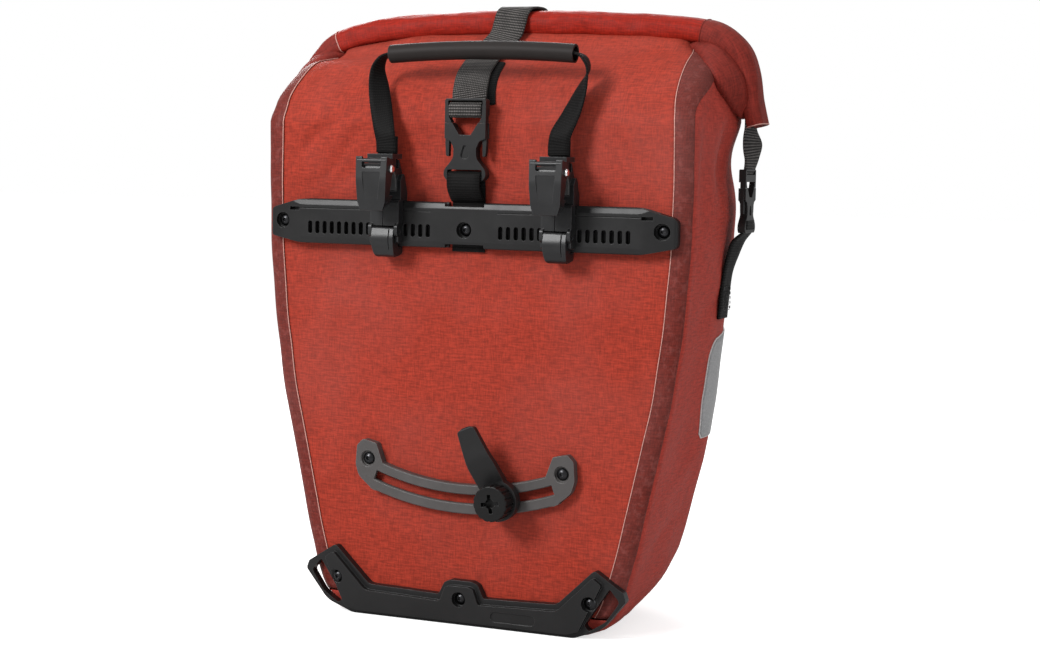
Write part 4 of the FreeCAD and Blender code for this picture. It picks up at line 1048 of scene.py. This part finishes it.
def make_anchor_webbing():
    """Black webbing round the lower bar of the centre buckle and down behind the rail."""
    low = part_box("centre_buckle_female")[0]
    bar_top, bar_front = low.z / MM + 2.9, low.y / MM
    path = [(-1.5, 257.5), (-1.5, 275), (-1.7, 292), (-2.3, 301), (-3.0, bar_top + 0.6),
            (-4.6, bar_top + 2.4), (-7.2, bar_top + 2.9), (bar_front - 0.4, bar_top + 1.6),
            (bar_front - 1.5, bar_top - 2.2), (bar_front - 0.9, bar_top - 8), (-6.4, 294.6), (-3.6, 292.2)]
    strap("buckle_anchor_web", level(path, 24.6), "black_webbing", 90, replaces=("buckle_anchor_webbing",))
    rows = [[(x, -9.6 + k * 1.9, 299.6 - k * 3.2) for x in (-10.4, 10.4)] for k in (0, 1)]
    stitches("anchor_stitches", rows, (0, -1, -0.35))


def make_side_strap(side, label):
    """Strap that holds down one end of the roll: from the roll to its buckle, and on to the gusset."""
    male, female = f"side_buckle_male_{label}", f"side_buckle_female_{label}"
    out = abs(node_mid(male).x) / MM
    top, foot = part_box(male)[1].z / MM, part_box(female)[0].z / MM
    y = ROLL_Y / MM
    upper = [(172.4, y, 356.0, 0, 1, 19.0), (173.4, y, 344.0, 0.10, 1, 19.4),
             (175.2, y - 1, 333.5, 0.42, 1, 19.5),
             (out + 2.6, y, 323.5, 0.18, 1, 19.0),
             (out + 0.2, y, top - 4.0, 0, 1, 18.4)]
    piece = strap(f"side_strap_top_{label}", mirrored(side, upper), "grey_webbing", 48,
                  replaces=(f"side_strap_upper_{label}",))
    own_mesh(piece)
    wall = [body_size(z * MM)[0] / MM for z in (246, 232, 214)]
    lower = [(out + 2.2, y, foot + 8.5, 0, 1, 18.6), (out + 1.2, y, foot + 1.5, 0, 1, 19.2),
             (out - 5.4, y, foot - 6, 0.15, 1, 19.5), (wall[0] + 6.0, y, 258, 0.1, 1, 19.5),
             (wall[0] + 2.8, y, 246, 0, 1, 19.5), (wall[1] + 2.2, y, 232, 0, 1, 19.5),
             (wall[2] + 2.0, y, 214, 0, 1, 19.5)]
    strap(f"side_strap_base_{label}", mirrored(side, lower), "black_webbing", 60,
          replaces=(f"side_strap_lower_{label}",))
    x = side * (wall[1] + 3.6)
    a, b, c, d = [(x, y + across, z) for z in (220, 236) for across in (-7.6, 7.6)]
    box_rows = [(a, b), (c, d), (a, c), (b, d), (a, d), (b, c)]
    stitches(f"side_strap_stitches_{label}", box_rows, (side, 0, 0))


# ---- handle --------------------------------------------------------------------------------
def make_handle():
    """Webbing loops from the grip down to the hooks, and the core inside the grip."""
    low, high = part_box("handle_grip")
    y = (low.y + high.y) / 2 / MM
    z = low.z / MM + 6.3
    for side, label, end in ((-1, "left", low.x / MM), (1, "right", high.x / MM)):
        x = node_mid(f"hook_body_{label}").x / MM
        strap_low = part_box(f"handle_strap_{label}")[0]
        front, bottom = strap_low.y / MM + 0.8, strap_low.z / MM
        tip, hook = side * end, side * x
        stations = [
            (tip - 2.0, y, z + 0.2, 0, 1, 8.6), (tip + 2.4, y - 0.2, z - 0.4, 0, 1, 9.8),
            (tip + 6.6, y - 0.7, z - 3.6, -0.05, 1, 12.4), (tip + 9.0, y - 1.6, z - 11, -0.28, 1, 14.2),
            (hook + 11.2, y - 4.2, z - 24, -0.74, 0.7, 15.0), (hook + 6.4, y - 9.2, z - 40, -1, 0.3, 15.0),
            (hook + 1.6, front + 0.2, z - 53, -1, 0, 15.0), (hook, front, bottom + 6, -1, 0, 15.0),
            (hook, front, bottom, -1, 0, 15.0)]
        strap(f"handle_web_{label}", mirrored(side, stations), "black_webbing", 84, f"strap_{label}",
              thickness=1.5, replaces=(f"handle_strap_{label}",))
        end_low, end_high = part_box(f"strap_end_{label}")
        middle = (end_low.y + end_high.y) / 2 / MM
        foot, head = end_low.z / MM, end_high.z / MM
        stub = [(x, middle, height, 1, 0, 15.0) for height in (foot, foot + 8, head - 6, head)]
        strap(f"strap_end_web_{label}", stub, "black_webbing", 24, f"hook_{label}",
              replaces=(f"strap_end_{label}",))
    core_low, core_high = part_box("handle_core_webbing")
    span = np.linspace(core_low.x / MM, core_high.x / MM, 9)
    middle_x = (span[0] + span[-1]) / 2
    half = (span[-1] - span[0]) / 2
    arch = 2.2
    core = [(a, y, z + arch * (1 - ((a - middle_x) / half) ** 2), 0, 1, 8.8) for a in span]
    strap("handle_core_web", core, "black_webbing", 40, "handle", thickness=2.2,
          replaces=("handle_core_webbing",))


make_centre_strap()
make_buckle_band()
make_strap_patch()
make_anchor_webbing()
for side, label in ((1, "right"), (-1, "left")):
    make_side_strap(side, label)
make_handle()


# ---- CAD nodes keep their shape and get their materials --------------------------------------
SLOT_OF = {p["node"]: p["material_slot"] for p in frame["record"]["subparts"]}
SPECIAL = {"arc_rail": "arc_plastic"}
for node_name, node in NODES.items():
    node.data.materials.clear()
    node.data.materials.append(MATERIALS[SPECIAL.get(node_name, SLOT_OF[node_name])])


# ---- stage, light and camera -----------------------------------------------------------------
def paper():
    """Pale floor that glows for the camera, so it shows white; little of that light reaches the object."""
    s = Shader("floor_paper")
    colour = (0.58, 0.58, 0.58)
    cloud = s.noise(object_place(s), 3.0, 2.0, 0.5)
    base = s.mix(s.ramp(cloud, [(0.3, 0.0), (0.7, 1.0)]), scaled(colour, 0.99), colour)
    glow = s.line(s.add("ShaderNodeLightPath").outputs["Is Camera Ray"], 0.62, 0.04)
    s.finish(Base_Color=base, Roughness=0.9, Specular_IOR_Level=0.0, Emission_Color=(1, 1, 1),
             Emission_Strength=glow)


FLOOR = 9.0
floor_mesh = bpy.data.meshes.new("floor")
floor_mesh.from_pydata([(-FLOOR, -FLOOR, 0), (FLOOR, -FLOOR, 0), (FLOOR, FLOOR, 0), (-FLOOR, FLOOR, 0)], [],
                       [(0, 1, 2, 3)])
paper()
floor_mesh.materials.append(MATERIALS["floor_paper"])
floor = new_object("floor", floor_mesh)

world = bpy.data.worlds.new("studio")
world.use_nodes = True
backdrop = world.node_tree.nodes["Background"]
backdrop.inputs[0].default_value = (1, 1, 1, 1)
# the camera sees the backdrop at full brightness, and the object is lit by it at less
seen = world.node_tree.nodes.new("ShaderNodeLightPath").outputs["Is Camera Ray"]
brightness = world.node_tree.nodes.new("ShaderNodeMapRange")
brightness.inputs["To Min"].default_value = 0.62
brightness.inputs["To Max"].default_value = 1.0
world.node_tree.links.new(seen, brightness.inputs["Value"])
world.node_tree.links.new(brightness.outputs[0], backdrop.inputs[1])
bpy.context.scene.world = world


def area_light(name, place, size, power):
    """Lamp of a given width and height, turned to the middle of the bag."""
    lamp = bpy.data.lights.new(name, "AREA")
    lamp.shape = "RECTANGLE"
    lamp.size, lamp.size_y = size
    lamp.energy = power
    obj = new_object(name, lamp)
    obj.location = place
    obj.rotation_euler = (Vector(MIDDLE) - Vector(place)).to_track_quat("-Z", "Y").to_euler()


MIDDLE = (0.03, 0.05, 0.21)
area_light("key", (-0.75, -1.5, 1.2), (0.6, 0.6), 43)
area_light("side", (1.6, -0.7, 0.9), (0.35, 1.1), 7)
area_light("top", (0.0, 0.1, 1.7), (1.0, 0.5), 7)
area_light("back", (-0.9, 1.5, 1.0), (0.9, 0.9), 22)

AZIMUTH, ELEVATION, TILT = (math.radians(a) for a in (23.0, 5.05, 0.95))
DISTANCE, LENS = 1.3536, 69.23
TARGET = Vector((0.0383, 0.0, 0.2093))
back_dir = Vector((math.sin(AZIMUTH) * math.cos(ELEVATION), -math.cos(AZIMUTH) * math.cos(ELEVATION),
                   math.sin(ELEVATION)))
right_dir = (-back_dir).cross(Vector((0, 0, 1))).normalized()
up_dir = right_dir.cross(-back_dir)
tilted_right = math.cos(TILT) * right_dir + math.sin(TILT) * up_dir
tilted_up = -math.sin(TILT) * right_dir + math.cos(TILT) * up_dir
camera_data = bpy.data.cameras.new("camera")
camera_data.lens = LENS
camera_data.sensor_width = 36.0
camera = new_object("camera", camera_data)
camera.matrix_world = Matrix.Translation(TARGET + back_dir * DISTANCE) @ Matrix(
    (tilted_right, tilted_up, back_dir)).transposed().to_4x4()
bpy.context.scene.camera = camera
bpy.context.scene.view_settings.view_transform = "Standard"
